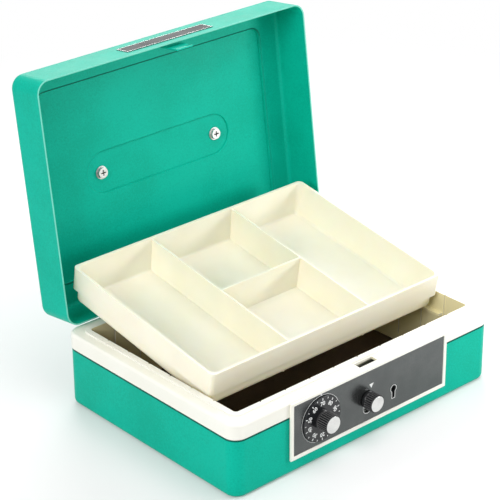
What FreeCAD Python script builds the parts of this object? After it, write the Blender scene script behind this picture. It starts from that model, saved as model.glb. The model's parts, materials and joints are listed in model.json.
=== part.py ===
import FreeCAD, Part
import math
import os
import re
import Sketcher

# Steel cash box with a moulded rim, a dial lock, a hinged lid with a bail handle and a coin tray.
# Millimetres, +Z up, front face towards -Y, origin at the centre of the underside.

SIZES = {
    # outer body
    "box_width": 250.0,
    "box_depth": 182.0,
    "corner": 10.0,
    "steel": 1.0,
    "edge_round": 4.0,
    "shell_top": 45.0,
    # moulded rim and liner
    "rim_proud": 0.4,
    "rim_skin": 1.8,
    "seam_high": 0.9,
    "seam_deep": 1.0,
    "flange_top": 57.8,
    "lip_rise": 1.2,
    "lip_width": 4.5,
    "mouth_side_set": 12.3,
    "mouth_end_set": 12.5,
    "mouth_corner": 2.5,
    "floor_gap": 0.2,
    "liner_wall": 2.0,
    "rim_round": 2.4,
    "groove_width": 1.2,
    "groove_deep": 0.9,
    "groove_pitch": 22.7,
    "groove_foot": 8.0,
    "ledge_reach": 4.0,
    "ledge_thick": 2.0,
    "ledge_length": 110.0,
    "seat_gap": 0.3,
    "mat_thick": 1.4,
    # lid
    "lid_gap": 0.6,
    "lid_height": 33.3,
    "lid_open_angle": 97.35,
    "field_width": 214.0,
    "field_depth": 146.0,
    "field_corner": 9.0,
    "field_rise": 2.6,
    "field_round": 1.0,
    "field_press": 1.4,
    "pad_width": 138.0,
    "pad_depth": 33.0,
    "pad_rise": 1.2,
    "pad_press": 0.9,
    # hinges
    "hinge_inset": 1.2,
    "hinge_above_edge": 2.95,
    "knuckle_radius": 2.5,
    "pin_radius": 1.0,
    "pin_fit": 0.05,
    "hinge_spread": 72.0,
    "hinge_length": 30.0,
    "lid_knuckle": 13.4,
    "leaf_thick": 0.9,
    "base_leaf_drop": 23.0,
    "lid_leaf_rise": 15.0,
    "hinge_gap": 0.3,
    "rivet_radius": 1.2,
    "rivet_head": 2.1,
    "rivet_rise": 0.8,
    "base_rivet_up": 4.5,
    "lid_rivet_set": 4.0,
    "notch_side": 0.8,
    "notch_rise": 3.25,
    "pin_end": 0.5,
    # lock plate and bezel
    "plate_width": 147.0,
    "plate_foot": 14.4,
    "plate_head": 53.9,
    "plate_thick": 1.4,
    "plate_fit": 0.1,
    "bezel_border": 2.8,
    "bezel_proud": 2.0,
    "bezel_trim": 0.4,
    "case_left": 70.0,
    "case_right": 46.0,
    "case_foot": 15.5,
    "case_head": 53.0,
    "case_depth": 8.2,
    "case_gap": 0.2,
    "case_fit": 0.6,
    "case_screw_set": 6.0,
    "case_screw_radius": 2.4,
    "case_screw_high": 1.6,
    # dial
    "dial_x": 48.1,
    "dial_z": 34.6,
    "dial_radius": 17.2,
    "dial_gap": 0.5,
    "dial_thick": 2.2,
    "dial_proud": 1.6,
    "dial_knob_radius": 7.3,
    "dial_knob_length": 12.4,
    "spindle_radius": 2.5,
    "wheel_radius": 11.0,
    "wheel_thick": 1.6,
    "cap_thick": 0.5,
    "cap_border": 1.0,
    "spindle_end": 0.7,
    "driver_setback": 2.6,
    "combination_setback": 5.0,
    "gate_width": 3.2,
    "gate_deep": 3.0,
    "clip_gap": 0.15,
    "clip_border": 1.6,
    "clip_thick": 0.7,
    # push knob
    "push_x": 3.2,
    "push_z": 32.0,
    "push_travel": 7.4,
    "push_knob_radius": 6.9,
    "push_head_length": 9.4,
    "push_neck_length": 0.6,
    "stem_radius": 3.2,
    "slide_fit": 0.4,
    "slide_width": 13.0,
    "slide_thick": 1.2,
    "slide_below": 1.6,
    "slide_above": 14.0,
    "spring_radius": 3.2,
    "spring_wire": 0.45,
    "spring_turns": 6.0,
    "spring_set": 4.0,
    "spring_seat": 0.6,
    # key and bolt
    "key_x": 22.7,
    "key_z": 30.2,
    "key_bow_radius": 2.6,
    "key_slot_width": 2.6,
    "key_slot_drop": 7.4,
    "plug_radius": 8.6,
    "plug_length": 2.2,
    "plug_drop": 2.4,
    "housing_gap": 0.2,
    "plug_fit": 0.06,
    "housing_radius": 10.4,
    "cam_radius": 9.4,
    "cam_thick": 1.1,
    "cam_gap": 0.1,
    "crank_throw": 3.54,
    "crank_radius": 1.0,
    "crank_end": 0.4,
    "crank_slot_below": 1.6,
    "crank_slot_high": 4.4,
    "bolt_travel": 5.0,
    "bolt_thick": 1.6,
    "bolt_nose_high": 3.4,
    "bolt_nose_z": 51.2,
    "bolt_nose_gap": 1.5,
    "bolt_set": 6.0,
    "bolt_width": 15.5,
    "bolt_foot": 1.0,
    "post_radius": 1.5,
    "post_set": 1.5,
    "post_end": 0.4,
    "low_post_z": 40.5,
    "high_post_z": 47.5,
    "run_gap": 0.3,
    # striker tongue
    "tongue_width": 15.0,
    "tongue_thick": 1.2,
    "tongue_drop": 9.0,
    "tongue_set_in": 3.6,
    "tongue_up": 11.0,
    "notch_deep": 4.2,
    "slot_width": 17.0,
    "slot_front": 1.2,
    "slot_depth": 5.8,
    # label
    "label_width": 80.0,
    "label_high": 13.0,
    "label_thick": 0.5,
    "label_above_edge": 6.5,
    # handle
    "handle_half": 54.7,
    "post_wide": 10.0,
    "post_deep": 12.0,
    "post_high": 9.0,
    "bail_radius": 2.6,
    "bail_fit": 0.05,
    "bail_above": 5.2,
    "bail_reach": 27.0,
    "bail_bend": 9.0,
    "bail_side_gap": 0.6,
    "grip_radius": 5.0,
    "grip_length": 62.0,
    "grip_round": 1.6,
    "screw_radius": 2.0,
    "screw_head_radius": 4.0,
    "screw_head_high": 2.2,
    "screw_fit": 0.2,
    "screw_bite": 1.9,
    "cross_reach": 2.2,
    "cross_half": 0.45,
    "cross_deep": 1.2,
    "washer_radius": 5.0,
    "washer_thick": 0.8,
    # tray
    "tray_side_gap": 1.4,
    "tray_end_gap": 1.7,
    "tray_high": 29.3,
    "tray_foot_high": 11.7,
    "tray_inset": 2.2,
    "tray_wall": 2.0,
    "tray_corner": 4.0,
    "tray_round": 5.0,
    "tray_foot_round": 4.5,
    "tray_floor_round": 2.2,
    "divider_thick": 1.6,
    "divider_corner": 0.3,
    "divider_x": 39.0,
    "divider_low": 1.2,
    "cross_y": -2.0,
    "tray_tilt": 9.9,
    "tray_rest_y": 27.0,
    "tray_rest_z": 59.7,
    "tray_nest_z": 44.0,
}

doc = FreeCAD.newDocument("CashBox")
sheet = doc.addObject("Spreadsheet::Sheet", "Sizes")
for row, (alias, value) in enumerate(SIZES.items(), start=1):
    sheet.set("A%d" % row, alias.replace("_", " "))
    sheet.set("B%d" % row, str(value))
    sheet.setAlias("B%d" % row, alias)
doc.recompute()

X_AXIS = FreeCAD.Vector(1, 0, 0)
Y_AXIS = FreeCAD.Vector(0, 1, 0)
Z_AXIS = FreeCAD.Vector(0, 0, 1)

# Heights and planes that several pieces share, as expressions on the sheet. A cutter runs past each face
# that it opens by a millimetre or more, which changes nothing in the piece.
HALF_W = "box_width/2"
HALF_D = "box_depth/2"
FRONT = "(-box_depth/2)"
LIP_TOP = "(flange_top + lip_rise)"
LID_EDGE = "(flange_top + lid_gap)"
LID_TOP = "(flange_top + lid_gap + lid_height)"
FIELD_TOP = "(flange_top + lid_gap + lid_height + field_rise)"
PAD_TOP = "(flange_top + lid_gap + lid_height + field_rise + pad_rise)"
HINGE_Y = "(box_depth/2 - hinge_inset)"
HINGE_Z = "(flange_top + lid_gap + hinge_above_edge)"
REAR_SKIN = "(box_depth/2 + rim_proud)"
PLATE_FACE = "(-box_depth/2 - rim_proud - plate_thick)"
PLATE_BACK = "(-box_depth/2 - rim_proud)"
CASE_FRONT = "(-box_depth/2 + steel + case_gap)"
CASE_BACK = "(-box_depth/2 + steel + case_gap + case_depth)"
DIAL_FACE = "(-box_depth/2 - rim_proud - plate_thick - dial_proud)"
TONGUE_FRONT = "(-box_depth/2 + tongue_set_in)"
CRANK_SHIFT = "0.7071*crank_throw"
BAIL_Z = "(flange_top + lid_gap + lid_height + field_rise + pad_rise + bail_above)"
MOUTH_W = "(box_width - 2*mouth_side_set)"
MOUTH_D = "(box_depth - 2*mouth_end_set)"
TRAY_W = "(box_width - 2*mouth_side_set - 2*tray_side_gap)"
TRAY_D = "(box_depth - 2*mouth_end_set - 2*tray_end_gap)"


def tie(expression):
    """Point every alias in an expression at its cell."""
    return re.sub(r"[A-Za-z_]\w*", lambda word: "Sizes." + word.group(0), str(expression))


def size(expression):
    """The number that an expression on the sheet stands for."""
    probe = doc.addObject("App::FeaturePython", "Probe")
    probe.addProperty("App::PropertyFloat", "Value")
    probe.setExpression("Value", tie(expression))
    probe.recompute()
    number = float(probe.Value)
    doc.removeObject(probe.Name)
    return number


def bind(item, **values):
    """Bind properties; a double underscore stands for a dot in the property's path."""
    for path, expression in values.items():
        item.setExpression(path.replace("__", "."), tie(expression))


def place(item, at):
    bind(item, Placement__Base__x=at[0], Placement__Base__y=at[1], Placement__Base__z=at[2])


def box(name, low, spans):
    item = doc.addObject("Part::Box", name)
    bind(item, Length=spans[0], Width=spans[1], Height=spans[2])
    place(item, low)
    return item


def rod(name, axis, at, radius, length):
    item = doc.addObject("Part::Cylinder", name)
    item.Placement = FreeCAD.Placement(FreeCAD.Vector(), FreeCAD.Rotation(Z_AXIS, axis))
    bind(item, Radius=radius, Height=length)
    place(item, at)
    return item


def fuse(name, items):
    item = doc.addObject("Part::MultiFuse", name)
    item.Shapes = items
    item.Refine = True
    return item


def group(name, items):
    item = doc.addObject("Part::Compound", name)
    item.Links = items
    return item


def cut(name, base, tools):
    item = doc.addObject("Part::Cut", name)
    item.Base = base
    item.Tool = tools[0] if len(tools) == 1 else fuse(name + "_tools", tools)
    item.Refine = True
    return item


def rounded_sketch(body, name, width, depth, radius, at):
    """A rounded rectangle about its own middle on a plane parallel to the floor."""
    sketch = body.newObject("Sketcher::SketchObject", name)
    plane = [item for item in body.Origin.OriginFeatures if item.Role == "XY_Plane"][0]
    sketch.AttachmentSupport = [(plane, "")]
    sketch.MapMode = "FlatFace"
    bind(sketch, AttachmentOffset__Base__x=at[0], AttachmentOffset__Base__y=at[1],
         AttachmentOffset__Base__z=at[2])
    half_w = size(width) / 2
    half_d = size(depth) / 2
    round_ = size(radius)
    flat_x = half_w - round_
    flat_y = half_d - round_
    corners = [(flat_x, -flat_y, -90), (flat_x, flat_y, 0), (-flat_x, flat_y, 90), (-flat_x, -flat_y, 180)]
    ends = [((-flat_x, -half_d), (flat_x, -half_d)), ((half_w, -flat_y), (half_w, flat_y)),
            ((flat_x, half_d), (-flat_x, half_d)), ((-half_w, flat_y), (-half_w, -flat_y))]
    for line, corner in zip(ends, corners):
        start = FreeCAD.Vector(line[0][0], line[0][1], 0)
        stop = FreeCAD.Vector(line[1][0], line[1][1], 0)
        sketch.addGeometry(Part.LineSegment(start, stop))
        circle = Part.Circle(FreeCAD.Vector(corner[0], corner[1], 0), Z_AXIS, round_)
        turn = math.radians(corner[2])
        sketch.addGeometry(Part.ArcOfCircle(circle, turn, turn + math.pi / 2))
    constraint = Sketcher.Constraint
    for side in range(4):
        line = 2 * side
        arc = line + 1
        after = (line + 2) % 8
        sketch.addConstraint(constraint("Tangent", line, 2, arc, 1))
        sketch.addConstraint(constraint("Tangent", arc, 2, after, 1))
        sketch.addConstraint(constraint("Horizontal" if side % 2 == 0 else "Vertical", line))
    for arc in (3, 5, 7):
        sketch.addConstraint(constraint("Equal", 1, arc))
    sketch.addConstraint(constraint("Symmetric", 0, 1, 4, 1, -1, 1))
    for label, kind, first, second, value, expression in (
            ("across", "DistanceX", 6, 2, 2 * half_w, width),
            ("along", "DistanceY", 0, 4, 2 * half_d, depth)):
        index = sketch.addConstraint(constraint(kind, first, 1, second, 1, value))
        sketch.renameConstraint(index, label)
        sketch.setExpression("Constraints." + label, tie(expression))
    index = sketch.addConstraint(constraint("Radius", 1, round_))
    sketch.renameConstraint(index, "corner")
    sketch.setExpression("Constraints.corner", tie(radius))
    return sketch


def pad(body, name, width, depth, radius, at, length):
    sketch = rounded_sketch(body, name + "_sketch", width, depth, radius, at)
    feature = body.newObject("PartDesign::Pad", name)
    feature.Profile = sketch
    bind(feature, Length=length)
    doc.recompute()
    return feature


def pocket(body, name, width, depth, radius, at, length, upward=False):
    before = body.Shape.Volume
    sketch = rounded_sketch(body, name + "_sketch", width, depth, radius, at)
    feature = body.newObject("PartDesign::Pocket", name)
    feature.Profile = sketch
    feature.Reversed = upward
    bind(feature, Length=length)
    doc.recompute()
    if body.Shape.Volume > before - 1.0:
        raise RuntimeError(name + " cuts nothing")
    return feature


def round_edges(body, name, feature, radius, choose):
    doc.recompute()
    names = []
    for index, edge in enumerate(feature.Shape.Edges, start=1):
        if choose(edge):
            names.append("Edge%d" % index)
    if not names:
        raise RuntimeError(name + " finds no edge")
    fillet = body.newObject("PartDesign::Fillet", name)
    fillet.Base = (feature, names)
    bind(fillet, Radius=radius)
    doc.recompute()
    return fillet


def level_edge(height):
    """Chooses the edges that lie flat at one height."""
    def choose(edge):
        bounds = edge.BoundBox
        return abs(bounds.ZMin - height) < 1e-4 and abs(bounds.ZMax - height) < 1e-4
    return choose


def inner_level_edge(height, width, depth):
    """Chooses the flat edges at one height that lie within an outline about the middle."""
    flat = level_edge(height)

    def choose(edge):
        bounds = edge.BoundBox
        across = max(abs(bounds.XMin), abs(bounds.XMax))
        along = max(abs(bounds.YMin), abs(bounds.YMax))
        return flat(edge) and across < width / 2 and along < depth / 2
    return choose


NODES = {}


def keep(name, item):
    item.Label = name
    NODES[name] = item
    return item


def keep_shape(name, shape):
    item = doc.addObject("Part::Feature", name + "_solid")
    item.Shape = shape
    return keep(name, item)


# Base shell: a pressed steel tray with a window for the lock in its front wall.
shell = doc.addObject("PartDesign::Body", "ShellBody")
shell_pad = pad(shell, "ShellPad", "box_width", "box_depth", "corner", ("0", "0", "0"), "shell_top")
pocket(shell, "ShellHollow", "box_width - 2*steel", "box_depth - 2*steel", "corner - steel",
       ("0", "0", "shell_top"), "shell_top - steel")
round_edges(shell, "ShellInside", shell.Tip, "edge_round - steel", level_edge(size("steel")))
round_edges(shell, "ShellRound", shell.Tip, "edge_round", level_edge(0.0))
shell_window = box("ShellWindow", ("-case_left", "-box_depth/2 - 1", "case_foot"),
                   ("case_left + case_right", "steel + 2", "shell_top"))
shell_rivets = []
for side in (-1, 1):
    for step in (-1, 1):
        across = "%d*hinge_spread + %d*hinge_length/3" % (side, step)
        shell_rivets.append(rod("ShellRivetHole", Y_AXIS,
                                (across, HALF_D + " - 4", HINGE_Z + " - base_leaf_drop + base_rivet_up"),
                                "rivet_radius + pin_fit", "6"))
keep("base_shell", cut("BaseShell", shell, [shell_window] + shell_rivets))

# Rim and liner: one moulding with a flange that the lid lands on, a raised lip, grooved walls
# and a seam that throws a thin shadow over the shell's edge.
liner = doc.addObject("PartDesign::Body", "LinerBody")
band = pad(liner, "BandPad", "box_width + 2*rim_proud", "box_depth + 2*rim_proud", "corner + rim_proud",
           ("0", "0", "shell_top + seam_high"), "flange_top - shell_top - seam_high")
round_edges(liner, "BandRound", band, "rim_round", level_edge(size("flange_top")))
pad(liner, "SeamPad", "box_width + 2*rim_proud - 2*seam_deep", "box_depth + 2*rim_proud - 2*seam_deep",
    "corner + rim_proud - seam_deep", ("0", "0", "shell_top"), "2*seam_high")
pocket(liner, "BandHollow", "box_width + 2*rim_proud - 2*rim_skin", "box_depth + 2*rim_proud - 2*rim_skin",
       "corner + rim_proud - rim_skin", ("0", "0", "shell_top"), "flange_top - shell_top - rim_skin", True)
pad(liner, "WallPad", MOUTH_W + " + 2*liner_wall", MOUTH_D + " + 2*liner_wall", "mouth_corner + liner_wall",
    ("0", "0", "steel + floor_gap"), "flange_top - steel - floor_gap")
pad(liner, "LipPad", MOUTH_W + " + 2*lip_width", MOUTH_D + " + 2*lip_width", "mouth_corner + lip_width",
    ("0", "0", "flange_top - rim_skin"), "rim_skin + lip_rise")
pocket(liner, "Mouth", MOUTH_W, MOUTH_D, "mouth_corner", ("0", "0", LIP_TOP), LIP_TOP)
grooves = []
groove_high = LIP_TOP + " + 1 - groove_foot"
for count in range(-4, 5):
    for side in (-1, 1):
        low_y = str(side) + "*" + MOUTH_D + "/2 - groove_deep"
        grooves.append(box("Groove", ("%d*groove_pitch - groove_width/2" % count, low_y, "groove_foot"),
                           ("groove_width", "2*groove_deep", groove_high)))
for count in (-2.5, -1.5, -0.5, 0.5, 1.5, 2.5):
    for side in (-1, 1):
        low_x = str(side) + "*" + MOUTH_W + "/2 - groove_deep"
        grooves.append(box("Groove", (low_x, "%s*groove_pitch - groove_width/2" % count, "groove_foot"),
                           ("2*groove_deep", "groove_width", groove_high)))
rim_slot = box("RimSlot", ("-slot_width/2", FRONT + " + slot_front", "flange_top - rim_skin - 1"),
               ("slot_width", "slot_depth", "rim_skin + 2"))
rim_window = box("RimWindow", ("-case_left", "-box_depth/2 - 3", "shell_top - 1"),
                 ("case_left + case_right", "rim_skin + 3.4", "plate_head - shell_top + 0.4"))
rim_body = cut("RimCut", liner, grooves + [rim_slot, rim_window])
ledges = []
for side in (-1, 1):
    ledge_mid = MOUTH_W + "/2 - ledge_reach/2 + liner_wall/4"
    low_x = str(side) + "*(" + ledge_mid + ") - ledge_reach/2 - liner_wall/4"
    ledges.append(box("Ledge", (low_x, "-ledge_length/2", "tray_nest_z - seat_gap - ledge_thick"),
                      ("ledge_reach + liner_wall/2", "ledge_length", "ledge_thick")))
keep("rim_liner", fuse("RimLiner", [rim_body] + ledges))

mat = doc.addObject("PartDesign::Body", "MatBody")
pad(mat, "MatPad", MOUTH_W + " - 2*run_gap", MOUTH_D + " - 2*run_gap", "mouth_corner - run_gap",
    ("0", "0", "steel"), "mat_thick")
keep("floor_mat", mat)

# Lock bezel and plate on the front face, with the lock case behind them.
bezel_outer = box("BezelOuter", ("-plate_width/2 - bezel_border", PLATE_BACK + " - bezel_proud",
                                 "plate_foot - bezel_border"),
                  ("plate_width + 2*bezel_border", "bezel_proud",
                   "plate_head - plate_foot + 2*bezel_border - bezel_trim"))
bezel_inner = box("BezelInner", ("-plate_width/2", PLATE_BACK + " - bezel_proud - 1", "plate_foot"),
                  ("plate_width", "bezel_proud + 2", "plate_head - plate_foot"))
keep("lock_bezel", cut("LockBezel", bezel_outer, [bezel_inner]))
plate = box("Plate", ("-plate_width/2 + plate_fit", PLATE_FACE, "plate_foot + plate_fit"),
            ("plate_width - 2*plate_fit", "plate_thick", "plate_head - plate_foot - 2*plate_fit"))
dial_window = rod("DialWindow", Y_AXIS, ("-dial_x", PLATE_FACE + " - 1", "dial_z"),
                  "dial_radius + dial_gap", "plate_thick + 2")
slot_top = rod("SlotTop", Y_AXIS, ("-push_x", PLATE_FACE + " - 1", "push_z"), "stem_radius + slide_fit",
               "plate_thick + 2")
slot_foot = rod("SlotFoot", Y_AXIS, ("-push_x", PLATE_FACE + " - 1", "push_z - push_travel"),
                "stem_radius + slide_fit",
                "plate_thick + 2")
slot_mid = box("SlotMid", ("-push_x - stem_radius - slide_fit", PLATE_FACE + " - 1",
                           "push_z - push_travel"),
               ("2*stem_radius + 2*slide_fit", "plate_thick + 2", "push_travel"))
key_round = rod("KeyRound", Y_AXIS, ("key_x", PLATE_FACE + " - 1", "key_z"), "key_bow_radius",
                "plate_thick + 2")
key_slot = box("KeySlot", ("key_x - key_slot_width/2", PLATE_FACE + " - 1", "key_z - key_slot_drop"),
               ("key_slot_width", "plate_thick + 2", "key_slot_drop"))
keep("lock_plate", cut("LockPlate", plate,
                       [dial_window, slot_top, slot_foot, slot_mid, key_round, key_slot]))

case_outer = box("CaseOuter", ("-case_left + case_fit", CASE_FRONT, "case_foot + case_fit"),
                 ("case_left + case_right - 2*case_fit", "case_depth", "case_head - case_foot - case_fit"))
case_inner = box("CaseInner",
                 ("-case_left + case_fit + steel", CASE_FRONT + " - 1", "case_foot + case_fit + steel"),
                 ("case_left + case_right - 2*case_fit - 2*steel", "case_depth + 1 - steel", "case_head"))
case_bore = rod("CaseBore", Y_AXIS, ("-dial_x", CASE_BACK + " - 3", "dial_z"), "spindle_radius + pin_fit",
                "6")
keep("lock_case", cut("LockCase", case_outer, [case_inner, case_bore]))

case_screws = []
for across in ("-case_left + case_screw_set", "case_right - case_screw_set"):
    for up in ("case_foot + case_screw_set", "case_head - case_screw_set"):
        head_y = CASE_BACK + " - steel - case_screw_high"
        case_screws.append(rod("CaseScrewHead", Y_AXIS, (across, head_y, up), "case_screw_radius",
                               "case_screw_high"))
keep("lock_case_screws", group("LockCaseScrews", case_screws))

housing_y = PLATE_BACK + " + housing_gap"
housing = rod("Housing", Y_AXIS, ("key_x", housing_y, "key_z - plug_drop"), "housing_radius", "plug_length")
housing_bore = rod("HousingBore", Y_AXIS, ("key_x", housing_y + " - 1", "key_z - plug_drop"),
                   "plug_radius + plug_fit", "plug_length + 2")
keep("key_housing", cut("KeyHousing", housing, [housing_bore]))

# Dial: disc, knob, cap, spindle and the wheel pack behind it, which all turn together.
disc = rod("Disc", Y_AXIS, ("-dial_x", DIAL_FACE, "dial_z"), "dial_radius", "dial_thick")
keep("dial_disc", disc)
knob_face = PLATE_FACE + " - dial_knob_length"
knob = rod("DialKnobRod", Y_AXIS, ("-dial_x", knob_face, "dial_z"), "dial_knob_radius",
           "dial_knob_length - dial_proud")
knob_pit = rod("DialKnobPit", Y_AXIS, ("-dial_x", knob_face + " - 1", "dial_z"),
               "dial_knob_radius - cap_border", "cap_thick + 1")
keep("dial_knob", cut("DialKnob", knob, [knob_pit]))
keep("dial_cap", rod("DialCap", Y_AXIS, ("-dial_x", knob_face, "dial_z"), "dial_knob_radius - cap_border",
                     "cap_thick"))
spindle_start = DIAL_FACE + " + dial_thick"
keep("dial_spindle", rod("DialSpindle", Y_AXIS, ("-dial_x", spindle_start, "dial_z"), "spindle_radius",
                         CASE_BACK + " - (" + spindle_start + ") + spindle_end"))
for name, setback in (("driver_wheel", "driver_setback"), ("combination_disc", "combination_setback")):
    wheel_y = CASE_BACK + " - steel - " + setback
    wheel = rod(name + "_rod", Y_AXIS, ("-dial_x", wheel_y, "dial_z"), "wheel_radius", "wheel_thick")
    hole = rod(name + "_hole", Y_AXIS, ("-dial_x", wheel_y + " - 1", "dial_z"), "spindle_radius",
               "wheel_thick + 2")
    gate_low = "dial_z + wheel_radius - gate_deep"
    gate = box(name + "_gate", ("-dial_x - gate_width/2", wheel_y + " - 1", gate_low),
               ("gate_width", "wheel_thick + 2", "2*gate_deep"))
    keep(name, cut(name + "_cut", wheel, [hole, gate]))
clip = rod("ClipRod", Y_AXIS, ("-dial_x", CASE_BACK + " + clip_gap", "dial_z"),
           "spindle_radius + clip_border", "clip_thick")
clip_hole = rod("ClipHole", Y_AXIS, ("-dial_x", CASE_BACK + " - 1", "dial_z"), "spindle_radius", "3")
keep("spindle_clip", cut("SpindleClip", clip, [clip_hole]))

# Push knob with its stem and slide plate, and the spring that lifts it again.
push_face = PLATE_FACE + " - push_neck_length - push_head_length"
push_head = rod("PushHead", Y_AXIS, ("-push_x", push_face, "push_z"), "push_knob_radius",
                "push_head_length")
push_stem = rod("PushStem", Y_AXIS, ("-push_x", push_face + " + push_head_length", "push_z"), "stem_radius",
                "push_neck_length + plate_thick + run_gap")
push_pit = rod("PushPit", Y_AXIS, ("-push_x", push_face + " - 1", "push_z"),
               "push_knob_radius - cap_border", "cap_thick + 1")
keep("push_knob", cut("PushKnob", fuse("PushBody", [push_head, push_stem]), [push_pit]))
keep("push_cap", rod("PushCap", Y_AXIS, ("-push_x", push_face, "push_z"), "push_knob_radius - cap_border",
                     "cap_thick"))
slide_y = PLATE_BACK + " + run_gap"
slide_low = "push_z - slide_below"
slide = box("SlidePlate", ("-push_x - slide_width/2", slide_y, slide_low),
            ("slide_width", "slide_thick", "slide_below + slide_above"))
slide_foot = box("SlideFoot", ("-push_x - spring_radius - spring_seat", slide_y, slide_low),
                 ("2*spring_radius + 2*spring_seat", "spring_set + spring_radius", "slide_thick"))
keep("latch_slide", fuse("LatchSlide", [slide, slide_foot]))

spring_low = size("case_foot + case_fit + steel")
spring_rise = size(slide_low) - spring_low
spring_y = size(slide_y + " + spring_set")
wire = size("spring_wire")
coil = size("spring_radius") - wire
helix = Part.makeHelix((spring_rise - 2 * wire) / size("spring_turns"), spring_rise - 2 * wire, coil)
section = Part.Wire(Part.makeCircle(wire, FreeCAD.Vector(coil, 0, 0), Y_AXIS))
spring_shape = Part.Wire(helix.Edges).makePipeShell([section], True, True)
spring = keep_shape("knob_spring", spring_shape)
spring.Placement = FreeCAD.Placement(FreeCAD.Vector(-size("push_x"), spring_y, spring_low + wire),
                                     FreeCAD.Rotation())

# Key plug behind the keyhole, the cam with its crank pin and the bolt that it drives.
plug_axis_z = "key_z - plug_drop"
plug = rod("PlugRod", Y_AXIS, ("key_x", housing_y, plug_axis_z), "plug_radius", "plug_length")
plug_round = rod("PlugRound", Y_AXIS, ("key_x", housing_y + " - 1", "key_z"), "key_bow_radius",
                 "plug_length + 2")
plug_slot = box("PlugSlot", ("key_x - key_slot_width/2", housing_y + " - 1", "key_z - key_slot_drop"),
                ("key_slot_width", "plug_length + 2", "key_slot_drop"))
keep("key_plug", cut("KeyPlug", plug, [plug_round, plug_slot]))
cam_y = housing_y + " + plug_length + cam_gap"
bolt_y = "(" + cam_y + " + cam_thick + run_gap)"
cam_disc = rod("CamDisc", Y_AXIS, ("key_x", cam_y, plug_axis_z), "cam_radius", "cam_thick")
crank_x = "key_x + " + CRANK_SHIFT
crank_z = plug_axis_z + " + " + CRANK_SHIFT
crank = rod("Crank", Y_AXIS, (crank_x, cam_y, crank_z), "crank_radius",
            "cam_thick + run_gap + bolt_thick + crank_end")
keep("lock_cam", fuse("LockCam", [cam_disc, crank]))
bolt_left = "(key_x - bolt_set)"
bolt_high = "bolt_nose_z + bolt_nose_high - (" + plug_axis_z + ") + bolt_foot"
bolt_plate = box("BoltPlate", (bolt_left, bolt_y, plug_axis_z + " - bolt_foot"),
                 ("bolt_width", "bolt_thick", bolt_high))
bolt_nose = box("BoltNose", ("tongue_width/2 + bolt_nose_gap", bolt_y, "bolt_nose_z"),
                (bolt_left + " - tongue_width/2", "bolt_thick", "bolt_nose_high"))
crank_slot = box("CrankSlot", (crank_x + " - crank_radius - run_gap", bolt_y + " - 1",
                               crank_z + " - crank_slot_below"),
                 ("2*crank_radius + 2*run_gap", "bolt_thick + 2", "crank_slot_high"))
post_slots = []
posts = []
for up in ("low_post_z", "high_post_z"):
    post_x = "key_x - post_set"
    post_slots.append(box("PostSlot", (post_x + " - post_radius - run_gap", bolt_y + " - 1",
                                       up + " - post_radius - run_gap"),
                          ("2*post_radius + 2*run_gap + bolt_travel", "bolt_thick + 2",
                           "2*post_radius + 2*run_gap")))
    posts.append(rod("BoltPost", Y_AXIS, (post_x, bolt_y + " - post_end", up), "post_radius",
                     CASE_BACK + " - steel - " + bolt_y + " + post_end"))
keep("lock_bolt", cut("LockBolt", fuse("BoltBody", [bolt_plate, bolt_nose]), [crank_slot] + post_slots))
keep("bolt_posts", group("BoltPosts", posts))

# Lid, drawn closed and swung open about the hinge line at the end.
lid = doc.addObject("PartDesign::Body", "LidBody")
lid_pad = pad(lid, "LidPad", "box_width", "box_depth", "corner", ("0", "0", LID_EDGE), "lid_height")
pocket(lid, "LidHollow", "box_width - 2*steel", "box_depth - 2*steel", "corner - steel",
       ("0", "0", LID_EDGE), "lid_height - steel", True)
round_edges(lid, "LidInside", lid.Tip, "edge_round - steel", level_edge(size(LID_TOP + " - steel")))
round_edges(lid, "LidRound", lid.Tip, "edge_round", level_edge(size(LID_TOP)))
pad(lid, "FieldPad", "field_width", "field_depth", "field_corner", ("0", "0", LID_TOP + " - steel"),
    "field_rise + steel")
pad(lid, "HandlePad", "pad_width", "pad_depth", "pad_depth/2 - 0.01", ("0", "0", FIELD_TOP + " - steel"),
    "pad_rise + steel")
round_edges(lid, "FieldRound", lid.Tip, "field_round", level_edge(size(FIELD_TOP)))
pocket(lid, "FieldHollow", "field_width - 2*steel", "field_depth - 2*steel", "field_corner - steel",
       ("0", "0", LID_EDGE), FIELD_TOP + " - steel - " + LID_EDGE, True)
pocket(lid, "PadHollow", "pad_width - 2*steel", "pad_depth - 2*steel", "pad_depth/2 - steel - 0.01",
       ("0", "0", LID_EDGE), PAD_TOP + " - steel - " + LID_EDGE, True)
round_edges(lid, "FieldMouth", lid.Tip, "field_press",
            inner_level_edge(size(LID_TOP + " - steel"), size("field_width"), size("field_depth")))
round_edges(lid, "PadMouth", lid.Tip, "pad_press",
            inner_level_edge(size(FIELD_TOP + " - steel"), size("pad_width"), size("pad_depth")))
lid_tools = []
for side in (-1, 1):
    lid_tools.append(box("HingeNotch", ("%d*hinge_spread - hinge_length/2 - notch_side" % side,
                                        HALF_D + " - 3*steel", LID_EDGE + " - 1"),
                         ("hinge_length + 2*notch_side", "6*steel", "hinge_above_edge + notch_rise + 1")))
    lid_tools.append(rod("HandleHole", Z_AXIS, ("%d*handle_half" % side, "0", PAD_TOP + " - 5"),
                         "screw_radius + screw_fit", "8"))
    for step in (-1, 1):
        lid_tools.append(rod("LidRivetHole", Y_AXIS,
                             ("%d*hinge_spread + %d*lid_knuckle/4" % (side, step), HALF_D + " - 4",
                              HINGE_Z + " + lid_leaf_rise - lid_rivet_set"),
                             "rivet_radius + pin_fit", "8"))
LID_NODES = []


def keep_lid(name, item):
    LID_NODES.append(item)
    return keep(name, item)


keep_lid("lid_shell", cut("LidShell", lid, lid_tools))

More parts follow.
